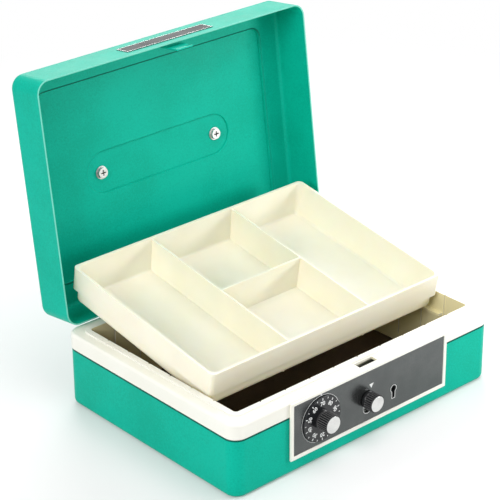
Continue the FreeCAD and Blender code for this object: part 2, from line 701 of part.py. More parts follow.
tongue_low = LID_EDGE + " - tongue_drop"
tongue = box("Tongue", ("-tongue_width/2", TONGUE_FRONT, tongue_low),
             ("tongue_width", "tongue_thick", "tongue_drop + tongue_up"))
tongue_block = box("TongueBlock", ("-tongue_width/2", FRONT + " + steel", LID_EDGE + " + 3"),
                   ("tongue_width", "tongue_set_in - steel", "tongue_up - 3"))
tongue_notch = box("TongueNotch", ("tongue_width/2 - notch_deep", TONGUE_FRONT + " - 1",
                                   "bolt_nose_z - run_gap"),
                   ("notch_deep + 1", "tongue_thick + 2", "bolt_nose_high + 2*run_gap"))
keep_lid("striker_tongue", cut("StrikerTongue", fuse("TongueBody", [tongue, tongue_block]), [tongue_notch]))

label = box("LabelBlank", ("-label_width/2", FRONT + " - label_thick", LID_EDGE + " + label_above_edge"),
            ("label_width", "label_thick", "label_high"))
keep_lid("label_plate", group("LabelPlate", [label]))

handle_posts = []
handle_screws = []
handle_washers = []
for side in (-1, 1):
    across = "%d*handle_half" % side
    block = box("HandlePost", (across + " - post_wide/2", "-post_deep/2", PAD_TOP),
                ("post_wide", "post_deep", "post_high"))
    bore = rod("HandleBore", X_AXIS, (across + " - post_wide", "0", BAIL_Z), "bail_radius + bail_fit",
               "2*post_wide")
    thread = rod("HandleThread", Z_AXIS, (across, "0", PAD_TOP + " - 1"), "screw_radius", "3")
    handle_posts.append(cut("HandlePostCut", block, [bore, thread]))
    washer = rod("WasherRod", Z_AXIS, (across, "0", PAD_TOP + " - steel - washer_thick"), "washer_radius",
                 "washer_thick")
    washer_hole = rod("WasherHole", Z_AXIS, (across, "0", PAD_TOP + " - steel - washer_thick - 1"),
                      "screw_radius", "washer_thick + 2")
    handle_washers.append(cut("Washer", washer, [washer_hole]))
    head = rod("ScrewHead", Z_AXIS, (across, "0", PAD_TOP + " - steel - washer_thick - screw_head_high"),
               "screw_head_radius", "screw_head_high")
    shank = rod("ScrewShank", Z_AXIS, (across, "0", PAD_TOP + " - steel - washer_thick - 0.5"),
                "screw_radius", "washer_thick + steel + screw_bite + 0.5")
    cross_low = PAD_TOP + " - steel - washer_thick - screw_head_high - 1"
    cross = []
    for half_x, half_y in (("cross_reach", "cross_half"), ("cross_half", "cross_reach")):
        cross.append(box("Cross", (across + " - " + half_x, "-" + half_y, cross_low),
                         ("2*" + half_x, "2*" + half_y, "cross_deep + 1")))
    handle_screws.append(cut("HandleScrew", fuse("HandleScrewBody", [head, shank]), cross))
keep_lid("handle_posts", group("HandlePosts", handle_posts))
keep_lid("handle_screws", group("HandleScrews", handle_screws))
keep_lid("handle_washers", group("HandleWashers", handle_washers))

# Bail handle: a bent rod whose ends turn in the posts, with a sleeve round its grip.
bail_rod = size("bail_radius")
bail_half = size("handle_half - post_wide/2 - bail_side_gap") - bail_rod
bail_end = size("handle_half + post_wide/2")
reach = size("bail_reach")
bend = size("bail_bend")
turn = bend * (1 - math.sqrt(0.5))
right = [FreeCAD.Vector(bail_half, 0, 0), FreeCAD.Vector(bail_half, reach - bend, 0),
         FreeCAD.Vector(bail_half - turn, reach - turn, 0), FreeCAD.Vector(bail_half - bend, reach, 0)]
left = [FreeCAD.Vector(-point.x, point.y, 0) for point in right]
bail_path = Part.Wire([Part.makeLine(right[0], right[1]), Part.Arc(right[1], right[2], right[3]).toShape(),
                       Part.makeLine(right[3], left[3]), Part.Arc(left[3], left[2], left[1]).toShape(),
                       Part.makeLine(left[1], left[0])])
bail_section = Part.Wire(Part.makeCircle(bail_rod, right[0], Y_AXIS))
bail_shape = bail_path.makePipeShell([bail_section], True, False)
for side in (-1, 1):
    start = FreeCAD.Vector(side * (bail_half - bail_rod), 0, 0)
    trunnion = Part.makeCylinder(bail_rod, bail_end - bail_half + bail_rod, start,
                                 FreeCAD.Vector(side, 0, 0))
    bail_shape = bail_shape.fuse(trunnion)
bail = keep_shape("handle_bail", bail_shape.removeSplitter())
grip_half = size("grip_length") / 2
grip_start = FreeCAD.Vector(-grip_half, reach, 0)
grip_shape = Part.makeCylinder(size("grip_radius"), 2 * grip_half, grip_start, X_AXIS)
grip_ends = [edge for edge in grip_shape.Edges if edge.Closed and edge.Length > 1]
grip_shape = grip_shape.makeFillet(size("grip_round"), grip_ends)
grip_core = Part.makeCylinder(bail_rod, 2 * grip_half + 2, FreeCAD.Vector(-grip_half - 1, reach, 0), X_AXIS)
grip = keep_shape("handle_grip", grip_shape.cut(grip_core))

# Hinges: two sets of leaves and pins behind the rear wall.
base_leaves = []
lid_leaves = []
pins = []
base_rivets = []
lid_rivets = []
for side in (-1, 1):
    middle = "%d*hinge_spread" % side
    side_knuckle = "(hinge_length/2 - lid_knuckle/2 - hinge_gap)"
    leaf = box("BaseLeaf", (middle + " - hinge_length/2", REAR_SKIN, HINGE_Z + " - base_leaf_drop"),
               ("hinge_length", "leaf_thick", "base_leaf_drop"))
    gap = box("LeafGap", (middle + " - lid_knuckle/2 - hinge_gap", REAR_SKIN + " - 1",
                          HINGE_Z + " - 2.6*knuckle_radius"),
              ("lid_knuckle + 2*hinge_gap", "leaf_thick + 2", "9*knuckle_radius"))
    barrel_a = rod("BarrelA", X_AXIS, (middle + " - hinge_length/2", HINGE_Y, HINGE_Z), "knuckle_radius",
                   side_knuckle)
    barrel_b = rod("BarrelB", X_AXIS, (middle + " + lid_knuckle/2 + hinge_gap", HINGE_Y, HINGE_Z),
                   "knuckle_radius", side_knuckle)
    bore = rod("BarrelBore", X_AXIS, (middle + " - hinge_length", HINGE_Y, HINGE_Z), "pin_radius + pin_fit",
               "2*hinge_length")
    holes = []
    for step in (-1, 1):
        across = middle + " + %d*hinge_length/3" % step
        up = HINGE_Z + " - base_leaf_drop + base_rivet_up"
        holes.append(rod("LeafHole", Y_AXIS, (across, REAR_SKIN + " - 2", up), "rivet_radius + pin_fit",
                         "6"))
        base_head = rod("RivetHead", Y_AXIS, (across, REAR_SKIN + " + leaf_thick", up), "rivet_head",
                        "rivet_rise")
        base_shank = rod("RivetShank", Y_AXIS, (across, HALF_D + " - steel - rivet_rise", up),
                         "rivet_radius",
                         "steel + rim_proud + leaf_thick + 1.5*rivet_rise")
        base_tail = rod("RivetTail", Y_AXIS, (across, HALF_D + " - steel - rivet_rise", up), "rivet_head",
                        "rivet_rise")
        base_rivets.append(fuse("BaseRivet", [base_head, base_shank, base_tail]))
        lid_across = middle + " + %d*lid_knuckle/4" % step
        lid_up = HINGE_Z + " + lid_leaf_rise - lid_rivet_set"
        lid_head = rod("LidRivetHead", Y_AXIS, (lid_across, HALF_D + " + leaf_thick", lid_up), "rivet_head",
                       "rivet_rise")
        lid_shank = rod("LidRivetShank", Y_AXIS, (lid_across, HALF_D + " - steel - rivet_rise", lid_up),
                        "rivet_radius",
                        "steel + leaf_thick + 1.5*rivet_rise")
        lid_tail = rod("LidRivetTail", Y_AXIS, (lid_across, HALF_D + " - steel - rivet_rise", lid_up),
                       "rivet_head", "rivet_rise")
        lid_rivets.append(fuse("LidRivet", [lid_head, lid_shank, lid_tail]))
    base_leaves.append(cut("BaseHinge", fuse("BaseHingeBody",
                                             [cut("LeafCut", leaf, [gap]), barrel_a,
                                              barrel_b]), [bore] + holes))
    lid_leaf = box("LidLeaf", (middle + " - lid_knuckle/2", HALF_D, HINGE_Z),
                   ("lid_knuckle", "leaf_thick", "lid_leaf_rise"))
    lid_barrel = rod("LidBarrel", X_AXIS, (middle + " - lid_knuckle/2", HINGE_Y, HINGE_Z), "knuckle_radius",
                     "lid_knuckle")
    lid_bore = rod("LidBore", X_AXIS, (middle + " - hinge_length", HINGE_Y, HINGE_Z),
                   "pin_radius + pin_fit", "2*hinge_length")
    lid_holes = []
    for step in (-1, 1):
        lid_holes.append(rod("LidLeafHole", Y_AXIS,
                             (middle + " + %d*lid_knuckle/4" % step, HALF_D + " - 2",
                              HINGE_Z + " + lid_leaf_rise - lid_rivet_set"),
                             "rivet_radius + pin_fit", "6"))
    lid_leaves.append(cut("LidHinge", fuse("LidHingeBody", [lid_leaf, lid_barrel]), [lid_bore] + lid_holes))
    pins.append(rod("HingePin", X_AXIS, (middle + " - hinge_length/2 - pin_end", HINGE_Y, HINGE_Z),
                    "pin_radius", "hinge_length + 2*pin_end"))
keep("hinge_base_leaves", group("HingeBaseLeaves", base_leaves))
keep("hinge_base_rivets", group("HingeBaseRivets", base_rivets))
keep("hinge_pins", group("HingePins", pins))
keep_lid("hinge_lid_leaves", group("HingeLidLeaves", lid_leaves))
keep_lid("hinge_lid_rivets", group("HingeLidRivets", lid_rivets))

# Tray: a wide upper band on a narrower foot, with leaning inner walls, two long dividers and a cross wall.
tray = doc.addObject("PartDesign::Body", "TrayBody")
foot_w = "(" + TRAY_W + " - 2*tray_inset)"
foot_d = "(" + TRAY_D + " - 2*tray_inset)"
foot = pad(tray, "TrayFoot", foot_w, foot_d, "tray_round", ("0", "0", "0"), "tray_foot_high")
round_edges(tray, "TrayRound", foot, "tray_foot_round", level_edge(0.0))
pad(tray, "TrayBand", TRAY_W, TRAY_D, "tray_corner", ("0", "0", "tray_foot_high"),
    "tray_high - tray_foot_high")
hollow = pocket(tray, "TrayHollow", TRAY_W + " - 2*tray_wall", TRAY_D + " - 2*tray_wall", "tray_corner + 1",
                ("0", "0", "tray_high"), "tray_high - tray_wall")
hollow.setExpression("TaperAngle", "-" + "atan(" + tie("tray_inset / (tray_high - tray_wall)") + ")")
doc.recompute()
round_edges(tray, "TrayInside", tray.Tip, "tray_floor_round", level_edge(size("tray_wall")))
divider_high = "tray_high - divider_low - tray_wall/2"
for side in (-1, 1):
    pad(tray, "Divider%d" % (side + 2), "divider_thick", foot_d + " - tray_wall", "divider_corner",
        ("%d*divider_x" % side, "0", "tray_wall/2"), divider_high)
pad(tray, "CrossWall", "2*divider_x - divider_thick/2", "divider_thick", "divider_corner",
    ("0", "cross_y", "tray_wall/2"), divider_high)
for side in (-1, 1):
    pad(tray, "DividerTop%d" % (side + 2), "divider_thick", TRAY_D + " - tray_wall", "divider_corner",
        ("%d*divider_x" % side, "0",
         "tray_foot_high + tray_wall/2"), "tray_high - divider_low - tray_foot_high - tray_wall/2")
keep("coin_tray", tray)

doc.recompute()

# Rest pose: lid pieces swing open, the bail hangs plumb from its posts and the tray leans on the rear.
hinge_line = FreeCAD.Vector(0, size(HINGE_Y), size(HINGE_Z))
opened = FreeCAD.Placement(FreeCAD.Vector(), FreeCAD.Rotation(X_AXIS, -size("lid_open_angle")), hinge_line)
for item in LID_NODES:
    item.Placement = opened.multiply(item.Placement)
hang = FreeCAD.Placement(FreeCAD.Vector(0, 0, size(BAIL_Z)),
                         FreeCAD.Rotation(X_AXIS, size("lid_open_angle") - 90))
for item in (bail, grip):
    item.Placement = opened.multiply(hang)
tray.Placement = FreeCAD.Placement(FreeCAD.Vector(0, size("tray_rest_y"), size("tray_rest_z")),
                                   FreeCAD.Rotation(X_AXIS, size("tray_tilt")))
doc.recompute()

for item in doc.Objects:
    if "Invalid" in item.State or "Error" in item.State:
        raise RuntimeError("%s did not compute: %s" % (item.Name, item.State))
os.makedirs("parts", exist_ok=True)
for name, item in NODES.items():
    shape = item.Shape
    if shape.isNull() or not shape.isValid() or not shape.Solids:
        raise RuntimeError(name + " has no valid solid")
for name, item in NODES.items():
    item.Shape.exportStep("parts/%s.step" % name)
    bounds = item.Shape.BoundBox
    print("%-18s solids %d volume %9.1f x %7.2f %7.2f y %7.2f %7.2f z %7.2f %7.2f" % (
        name, len(item.Shape.Solids), item.Shape.Volume, bounds.XMin, bounds.XMax, bounds.YMin, bounds.YMax,
        bounds.ZMin, bounds.ZMax))
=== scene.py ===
"""Finishes, printed marks and fine detail for a steel cash box with a dial lock and a coin tray."""

import json
import math

import bmesh
import bpy
from mathutils import Matrix, Vector


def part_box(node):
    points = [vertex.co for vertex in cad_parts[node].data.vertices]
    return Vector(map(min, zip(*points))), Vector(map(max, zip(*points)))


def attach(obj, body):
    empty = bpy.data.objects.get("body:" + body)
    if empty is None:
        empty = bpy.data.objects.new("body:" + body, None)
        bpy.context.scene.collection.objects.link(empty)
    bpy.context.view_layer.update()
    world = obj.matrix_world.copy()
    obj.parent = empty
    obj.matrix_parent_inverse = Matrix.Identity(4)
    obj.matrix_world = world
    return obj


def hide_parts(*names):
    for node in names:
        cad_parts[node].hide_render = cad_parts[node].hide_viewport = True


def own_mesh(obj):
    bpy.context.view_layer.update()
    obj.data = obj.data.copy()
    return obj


bl_info = {
    "name": "Cash Box Dressing",
    "version": (1, 0, 0),
    "blender": (4, 5, 0),
    "location": "View3D > Sidebar > Cash Box",
    "description": "Dresses a steel cash box with enamel, mouldings, knurled knobs and printed marks",
    "category": "Object",
}

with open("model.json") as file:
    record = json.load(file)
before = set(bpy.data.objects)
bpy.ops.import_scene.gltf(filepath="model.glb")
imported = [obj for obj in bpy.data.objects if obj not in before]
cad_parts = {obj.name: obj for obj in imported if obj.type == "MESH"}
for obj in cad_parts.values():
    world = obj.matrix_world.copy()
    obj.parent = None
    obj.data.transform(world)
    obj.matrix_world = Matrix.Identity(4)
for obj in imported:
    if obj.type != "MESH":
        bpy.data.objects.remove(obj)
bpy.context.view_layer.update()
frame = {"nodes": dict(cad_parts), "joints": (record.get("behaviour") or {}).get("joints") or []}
NODES = frame["nodes"]
JOINTS = {joint["name"]: joint for joint in frame["joints"]}
MATERIALS = {}
MM = 0.001

# The lid's lean at rest, and the moves between its shut and its open place
LID_LEAN = math.radians(JOINTS["lid_hinge"]["range_deg"][1])
LID_LINE = Vector(JOINTS["lid_hinge"]["pos_m"])
LID_SWING = Matrix.Translation(LID_LINE) @ Matrix.Rotation(-LID_LEAN, 4, "X") @ Matrix.Translation(-LID_LINE)
LID_SHUT = LID_SWING.inverted()

# Sizes that the solids have too: the lid's pressed field and the keyhole
FIELD_HALF = (106 * MM, 72 * MM)
FIELD_CORNER = 8 * MM
FIELD_AND_PAD_RISE = 3.8 * MM
KEYHOLE_UP = 2.4 * MM
KEYHOLE_BOW = 2.6 * MM
KEYHOLE_HALF_SLOT = 1.3 * MM
KEYHOLE_DROP = 7.4 * MM

# Printed marks on the lock plate and the dial
PLATE_PRINT = 0.06 * MM
DIAL_PRINT = 0.05 * MM
WINDOW_GAP = 0.5 * MM
RING_GAP = 0.05 * MM
KEYHOLE_GAP = 0.1 * MM
INDEX_HALF = 1.2 * MM
INDEX_RISE = 1.5 * MM
INDEX_DROP = 0.1 * MM
ARROW_PLACE = (3.5 * MM, 9.4 * MM)
ARROW_HALF = 2.1 * MM
ARROW_RISE = 1.6 * MM
ARROW_DROP = 1.8 * MM
TICK_COUNT = 20
TICK_INSET = 0.8 * MM
LONG_TICK = (1.7 * MM, 0.32 * MM)
SHORT_TICK = (1.1 * MM, 0.26 * MM)
FIGURE_INSET = 5.1 * MM
FIGURE_SIZE = 1.38
FIGURE_WEIGHT = 0.03
FIGURE_SINK = 0.9
WINDOW_STEPS = 96

# Knobs, with profiles in millimetres as (depth, radius) from the shoulder and from the knob's own radius
COLLAR_PROFILE = ((0.0, -0.35), (-1.1, -0.35), (-1.6, -0.9))
SHOULDER_PROFILE = ((-0.05, -0.5), (-0.3, -0.35), (-2.0, -0.35))
NECK_RADIUS = 3.2 * MM
NECK_OVERLAP = 0.6 * MM
NECK_FLARE = 0.3 * MM
RIDGE_START = (0.5 * MM, 0.9 * MM)
RIDGE_RELIEF = 0.5 * MM
FRONT_CHAMFER = (0.45 * MM, 0.1 * MM, 0.3 * MM)
CAP_SEAT = ((0.02 * MM, 0.10 * MM), (0.05 * MM, 0.02 * MM))
HIGHLIGHT_DEPTH = 0.25 * MM

# Lid fittings and felt
LABEL_INSET = 0.1 * MM
LABEL_EDGE = 0.6 * MM
LABEL_RAISED = 0.1 * MM
CROSS_HALF = (2.1 * MM, 0.42 * MM)
CROSS_DEEP = 0.7 * MM
CROSS_UP = 0.75 * MM
FELT_CELLS = (24, 16)
FELT_DIP = 0.12 * MM
FELT_WAVES = ((61, 1.3), (83, 0.4))

# How solids are cleaned before their corners are softened
WELD_REACH = 0.001 * MM
FLAT_ANGLE = math.radians(0.4)

# Finishes as (name, light, deep, roughness, ripple scale, ripple depth, specular)
SPRAYED_FINISHES = (
    ("Black Moulding", (0.010, 0.010, 0.011, 1), (0.018, 0.018, 0.019, 1), (0.16, 0.28),
     1300.0, 0.01 * MM, 0.5),
    ("Dial Black", (0.010, 0.011, 0.012, 1), (0.016, 0.018, 0.020, 1), (0.12, 0.20),
     1800.0, 0.004 * MM, 0.5),
    ("Label Black", (0.045, 0.048, 0.048, 1), (0.060, 0.064, 0.064, 1), (0.45, 0.60),
     1800.0, 0.01 * MM, 0.08),
    ("Printed White", (0.86, 0.87, 0.86, 1), (0.78, 0.79, 0.78, 1), (0.45, 0.60),
     2500.0, 0.01 * MM, 0.5),
)

# Parts of such a row that several finishes share
KNOB_BLACK = ((0.008, 0.008, 0.009, 1), (0.014, 0.014, 0.015, 1), (0.16, 0.28), 1300.0, 0.01 * MM)
MOULDING = ((0.38, 0.52), 1500.0, 0.02 * MM)
ENAMEL = ((0.34, 0.46), 900.0)

# Metals as (name, light, deep, roughness, metallic, stretch of the drawn lines, depth of the lines)
BRUSHED_FINISHES = (
    ("Bright Metal", (0.80, 0.80, 0.78, 1), (0.66, 0.66, 0.65, 1), (0.14, 0.30), 1.0,
     (300.0, 300.0, 3000.0), 0.004 * MM),
    ("Zinc Steel", (0.58, 0.58, 0.56, 1), (0.44, 0.45, 0.45, 1), (0.28, 0.46), 1.0,
     (200.0, 200.0, 1600.0), 0.006 * MM),
    ("Dark Steel", (0.045, 0.045, 0.046, 1), (0.030, 0.030, 0.031, 1), (0.40, 0.55), 0.8,
     (200.0, 200.0, 1600.0), 0.006 * MM),
    ("Brass Wheel", (0.72, 0.53, 0.22, 1), (0.60, 0.42, 0.16, 1), (0.24, 0.42), 1.0,
     (2000.0, 200.0, 2000.0), 0.005 * MM),
)

# Tones laid over a finish: painted shadows under the rim and round the lid's field, painted highlights along
# the lid's lip and on the knobs' crests
RIM_SHADOW_TONE = (0.003, 0.115, 0.085, 1)
FIELD_SHADOW_TONE = (0.002, 0.13, 0.09, 1)
LIP_HIGHLIGHT_TONE = (0.17, 0.61, 0.49, 1)
CREST_HIGHLIGHT_TONE = (0.19, 0.19, 0.19, 1)

# Where those tones lie and how far they reach
RIM_SHADOW_BAND = (1.1 * MM, 0.7 * MM)
MOUTH_FADE = -15 * MM
FIELD_EDGE = 0.6 * MM
FIELD_LINE = (1.0 * MM, 0.4 * MM)
FIELD_DROP = 0.2 * MM
SIDE_SHARE = 0.35
LIP_BAND = 0.3 * MM

# Second tones of the lock plate and the felt
CHARCOAL_SHADE = (0.125, 0.132, 0.130, 1)
FELT_SHADE = (0.090, 0.052, 0.022, 1)

# Sockets of a colour mix, which share their names
MIX_FACTOR, MIX_LOWER, MIX_UPPER, MIX_RESULT = 0, 6, 7, 2

FLOOR_LEVEL = -0.2 * MM
LAMP_AIM = Vector((0, 0.03, 0.08))


# Settings that a user would change


class EnamelSettings(bpy.types.PropertyGroup):
    """Colours of the painted and moulded pieces."""

    green: bpy.props.FloatVectorProperty(
        name="Enamel", description="Colour of the steel shell and lid", subtype="COLOR",
        size=4, min=0.0, max=1.0, default=(0.003, 0.455, 0.330, 1.0))
    green_deep: bpy.props.FloatVectorProperty(
        name="Enamel Shade", description="Darker tone in the enamel's mottle", subtype="COLOR",
        size=4, min=0.0, max=1.0, default=(0.002, 0.385, 0.270, 1.0))
    ivory: bpy.props.FloatVectorProperty(
        name="Ivory", description="Colour of the tray", subtype="COLOR",
        size=4, min=0.0, max=1.0, default=(0.87, 0.845, 0.720, 1.0))
    ivory_deep: bpy.props.FloatVectorProperty(
        name="Ivory Shade", description="Warmer tone in the tray", subtype="COLOR",
        size=4, min=0.0, max=1.0, default=(0.84, 0.80, 0.655, 1.0))
    rim: bpy.props.FloatVectorProperty(
        name="Rim", description="Colour of the rim, liner and bezel", subtype="COLOR",
        size=4, min=0.0, max=1.0, default=(0.87, 0.865, 0.800, 1.0))
    rim_deep: bpy.props.FloatVectorProperty(
        name="Rim Shade", description="Warmer tone in the rim and liner", subtype="COLOR",
        size=4, min=0.0, max=1.0, default=(0.84, 0.825, 0.740, 1.0))
    # The mouth tone is a painted shade: warm bounced light on the liner's inner walls
    mouth: bpy.props.FloatVectorProperty(
        name="Mouth", description="Warm tone on the liner's inner walls", subtype="COLOR",
        size=4, min=0.0, max=1.0, default=(0.86, 0.78, 0.47, 1.0))
    charcoal: bpy.props.FloatVectorProperty(
        name="Charcoal", description="Colour of the lock plate", subtype="COLOR",
        size=4, min=0.0, max=1.0, default=(0.105, 0.112, 0.111, 1.0))
    felt: bpy.props.FloatVectorProperty(
        name="Felt", description="Colour of the floor mat", subtype="COLOR",
        size=4, min=0.0, max=1.0, default=(0.050, 0.026, 0.010, 1.0))
    peel: bpy.props.FloatProperty(
        name="Orange Peel", description="Depth of the enamel's fine ripple", subtype="DISTANCE",
        unit="LENGTH", min=0.0, max=0.001, default=0.00003)


class LockSettings(bpy.types.PropertyGroup):
    """Sizes of the knobs and of the marks on the lock plate."""

    ridge_pitch: bpy.props.FloatProperty(
        name="Ridge Pitch", description="Distance from ridge to ridge round each knob", subtype="DISTANCE",
        unit="LENGTH", min=0.0005, max=0.005, default=0.0016)
    ridge_depth: bpy.props.FloatProperty(
        name="Ridge Depth", description="Depth of the knurl", subtype="DISTANCE", unit="LENGTH",
        min=0.0, max=0.002, default=0.0007)
    figure_height: bpy.props.FloatProperty(
        name="Figure Height", description="Height of the dial's figures", subtype="DISTANCE", unit="LENGTH",
        min=0.0005, max=0.01, default=0.0031)
    shown_ten: bpy.props.IntProperty(
        name="Shown Ten", description="Which ten stands under the index at rest", min=0, max=9, default=7)
    ring_width: bpy.props.FloatProperty(
        name="Ring Width", description="Width of the printed outlines", subtype="DISTANCE", unit="LENGTH",
        min=0.0001, max=0.002, default=0.00035)
    outline_half: bpy.props.FloatProperty(
        name="Slot Outline", description="Half width of the outline round the push knob's slot",
        subtype="DISTANCE", unit="LENGTH", min=0.003, max=0.012, default=0.0042)


class StageSettings(bpy.types.PropertyGroup):
    """Camera, floor and lamps."""

    eye: bpy.props.FloatVectorProperty(
        name="Camera Place", description="Where the camera stands", subtype="TRANSLATION", unit="LENGTH",
        size=3, default=(-0.8333, -0.90082, 0.71118))
    aim: bpy.props.FloatVectorProperty(
        name="Camera Turn", description="How the camera is turned", subtype="EULER", unit="ROTATION",
        size=3, default=(math.radians(64.0108), math.radians(0.3704), math.radians(-41.9436)))
    lens: bpy.props.FloatProperty(
        name="Lens", description="Focal length on a 36 mm sensor", min=20.0, max=300.0, default=138.374)
    floor_half: bpy.props.FloatProperty(
        name="Floor Reach", description="Half the floor's side", subtype="DISTANCE", unit="LENGTH",
        min=0.5, max=20.0, default=6.0)
    paper_glow: bpy.props.FloatProperty(
        name="Paper Glow", description="Lift of the floor towards white", min=0.0, max=1.0, default=0.14)
    shadow_reach: bpy.props.FloatProperty(
        name="Shadow Reach", description="How far from the box the floor keeps its shadow",
        subtype="DISTANCE", unit="LENGTH", min=0.2, max=5.0, default=0.38)
    key_power: bpy.props.FloatProperty(
        name="Key Lamp", description="Power of the lamp overhead", subtype="POWER", min=0.0, default=6.0)
    side_power: bpy.props.FloatProperty(
        name="Side Lamp", description="Power of the lamp on the right", subtype="POWER", min=0.0, default=2.3)
    back_power: bpy.props.FloatProperty(
        name="Back Lamp", description="Power of the lamp behind the lid", subtype="POWER",
        min=0.0, default=15.0)
    fill_power: bpy.props.FloatProperty(
        name="Fill Lamp", description="Power of the lamp on the left", subtype="POWER", min=0.0, default=10.5)
    sky: bpy.props.FloatProperty(
        name="Sky", description="Strength of the even light from all round", min=0.0, max=2.0, default=0.50)


# Node helpers


def feed(tree, value, socket):
    """Link a socket to another one, or set it to a plain value."""
    if isinstance(value, bpy.types.NodeSocket):
        tree.links.new(value, socket)
    else:
        socket.default_value = value


def value_step(tree, operation, *values, clamp=False):
    node = tree.nodes.new("ShaderNodeMath")
    node.operation = operation
    node.use_clamp = clamp
    for value, socket in zip(values, node.inputs):
        feed(tree, value, socket)
    return node.outputs["Value"]


def vector_step(tree, operation, *values):
    node = tree.nodes.new("ShaderNodeVectorMath")
    node.operation = operation
    for value, socket in zip(values, node.inputs):
        feed(tree, value, socket)
    return node.outputs["Value" if operation in ("LENGTH", "DOT_PRODUCT") else "Vector"]


def remap(tree, value, low, high, to_low=0.0, to_high=1.0, clamp=True):
    """Spread a value from one range to another."""
    node = tree.nodes.new("ShaderNodeMapRange")
    node.clamp = clamp
    for label, number in (("Value", value), ("From Min", low), ("From Max", high), ("To Min", to_low),
                          ("To Max", to_high)):
        feed(tree, number, node.inputs[label])
    return node.outputs["Result"]


def noise(tree, vector, scale, detail, roughness):
    node = tree.nodes.new("ShaderNodeTexNoise")
    for label, value in (("Vector", vector), ("Scale", scale), ("Detail", detail), ("Roughness", roughness)):
        feed(tree, value, node.inputs[label])
    return node.outputs["Fac"]


def arrange(tree):
    """Set a tree's nodes out in columns, from its output back."""
    columns = {node.name: 0 for node in tree.nodes}
    for _ in tree.nodes:
        for link in tree.links:
            columns[link.from_node.name] = max(columns[link.from_node.name], columns[link.to_node.name] + 1)
    filled = {}
    for node in tree.nodes:
        column = columns[node.name]
        node.location = (-260 * column, -300 * filled.get(column, 0))
        filled[column] = filled.get(column, 0) + 1


# Shader groups that several finishes share


def new_group(name, numbers, vectors, outputs):
    """A shader group with a Vector input, more inputs by name and default, and number outputs."""
    group = bpy.data.node_groups.new(name, "ShaderNodeTree")
    group.interface.new_socket("Vector", in_out="INPUT", socket_type="NodeSocketVector")
    for kind, rows in (("NodeSocketFloat", numbers), ("NodeSocketVector", vectors)):
        for label, default in rows.items():
            group.interface.new_socket(label, in_out="INPUT", socket_type=kind).default_value = default
    for label in outputs:
        group.interface.new_socket(label, in_out="OUTPUT", socket_type="NodeSocketFloat")
    return group, group.nodes.new("NodeGroupInput").outputs, group.nodes.new("NodeGroupOutput").inputs


def close_group(group, leave, **results):
    """Link the results to the group's outputs and set its nodes out."""
    for label, result in results.items():
        group.links.new(result, leave[label])
    arrange(group)
    return group


def make_mottle_group():
    """Broad uneven tone, specks and a fine ripple, for sprayed enamel and moulded surfaces."""
    group, entry, leave = new_group(
        "Mottle and Ripple", {"Tone Scale": 18.0, "Ripple Scale": 700.0, "Speckle": 0.0}, {},
        ("Tone", "Ripple", "Haze"))
    cloud = noise(group, entry["Vector"], entry["Tone Scale"], 4.0, 0.55)
    ripple = noise(group, entry["Vector"], entry["Ripple Scale"], 2.0, 0.5)
    haze = noise(group, entry["Vector"], 55.0, 6.0, 0.65)
    specks = remap(group, ripple, 0.5, 0.7, clamp=False)
    patches = remap(group, cloud, 0.32, 0.70)
    tone = value_step(group, "MULTIPLY_ADD", specks, entry["Speckle"], patches, clamp=True)
    return close_group(group, leave, Tone=tone, Ripple=ripple, Haze=remap(group, haze, 0.35, 0.75))


def make_brush_group():
    """Fine parallel or turned lines, for brushed plate and lathe-turned caps."""
    group, entry, leave = new_group("Brushed Lines", {}, {"Stretch": (40.0, 40.0, 4000.0)}, ("Lines", "Haze"))
    drawn = vector_step(group, "MULTIPLY", entry["Vector"], entry["Stretch"])
    lines = noise(group, drawn, 1.0, 3.0, 0.6)
    haze = noise(group, entry["Vector"], 90.0, 4.0, 0.6)
    return close_group(group, leave, Lines=lines, Haze=remap(group, haze, 0.35, 0.7))


def make_fibre_group():
    """Short matted fibres, for felt."""
    group, entry, leave = new_group("Matted Fibres", {"Scale": 900.0}, {}, ("Tone", "Pile"))
    fibres = noise(group, entry["Vector"], entry["Scale"], 6.0, 0.75)
    cloud = noise(group, entry["Vector"], 35.0, 4.0, 0.6)
    tangle = value_step(group, "MULTIPLY", fibres, cloud)
    return close_group(group, leave, Tone=remap(group, tangle, 0.12, 0.4), Pile=fibres)


def make_crest_group():
    """Mask of the crests on a ridged knob whose line runs along Y, where a painted highlight goes."""
    group, entry, leave = new_group(
        "Ridge Crests", {"Valley": 0.007, "Crest": 0.008}, {"Centre": (0.0, 0.0, 0.0)}, ("Wear",))
    offset = vector_step(group, "SUBTRACT", entry["Vector"], entry["Centre"])
    reach = vector_step(group, "LENGTH", vector_step(group, "MULTIPLY", offset, (1.0, 0.0, 1.0)))
    return close_group(group, leave, Wear=remap(group, reach, entry["Valley"], entry["Crest"]))


# Finishes


def new_material(name):
    material = bpy.data.materials.new(name)
    material.use_nodes = True
    MATERIALS[name] = material
    tree = material.node_tree
    coords = tree.nodes.new("ShaderNodeTexCoord")
    return tree, tree.nodes["Principled BSDF"], coords.outputs["Object"]


def place_group(tree, group, vector, **values):
    node = tree.nodes.new("ShaderNodeGroup")
    node.node_tree = group
    tree.links.new(vector, node.inputs["Vector"])
    for label, value in values.items():
        node.inputs[label.replace("_", " ")].default_value = value
    return node.outputs


def mix_colours(tree, shader, factor, lower, upper):
    mix = tree.nodes.new("ShaderNodeMix")
    mix.data_type = "RGBA"
    feed(tree, factor, mix.inputs[MIX_FACTOR])
    feed(tree, lower, mix.inputs[MIX_LOWER])
    feed(tree, upper, mix.inputs[MIX_UPPER])
    tree.links.new(mix.outputs[MIX_RESULT], shader.inputs["Base Color"])


def overlay(tree, shader, factor, tone):
    """Lay one more tone over what already feeds the shader's colour."""
    mix_colours(tree, shader, factor, shader.inputs["Base Color"].links[0].from_socket, tone)


def vary_roughness(tree, shader, factor, spread):
    tree.links.new(remap(tree, factor, 0.0, 1.0, *spread), shader.inputs["Roughness"])


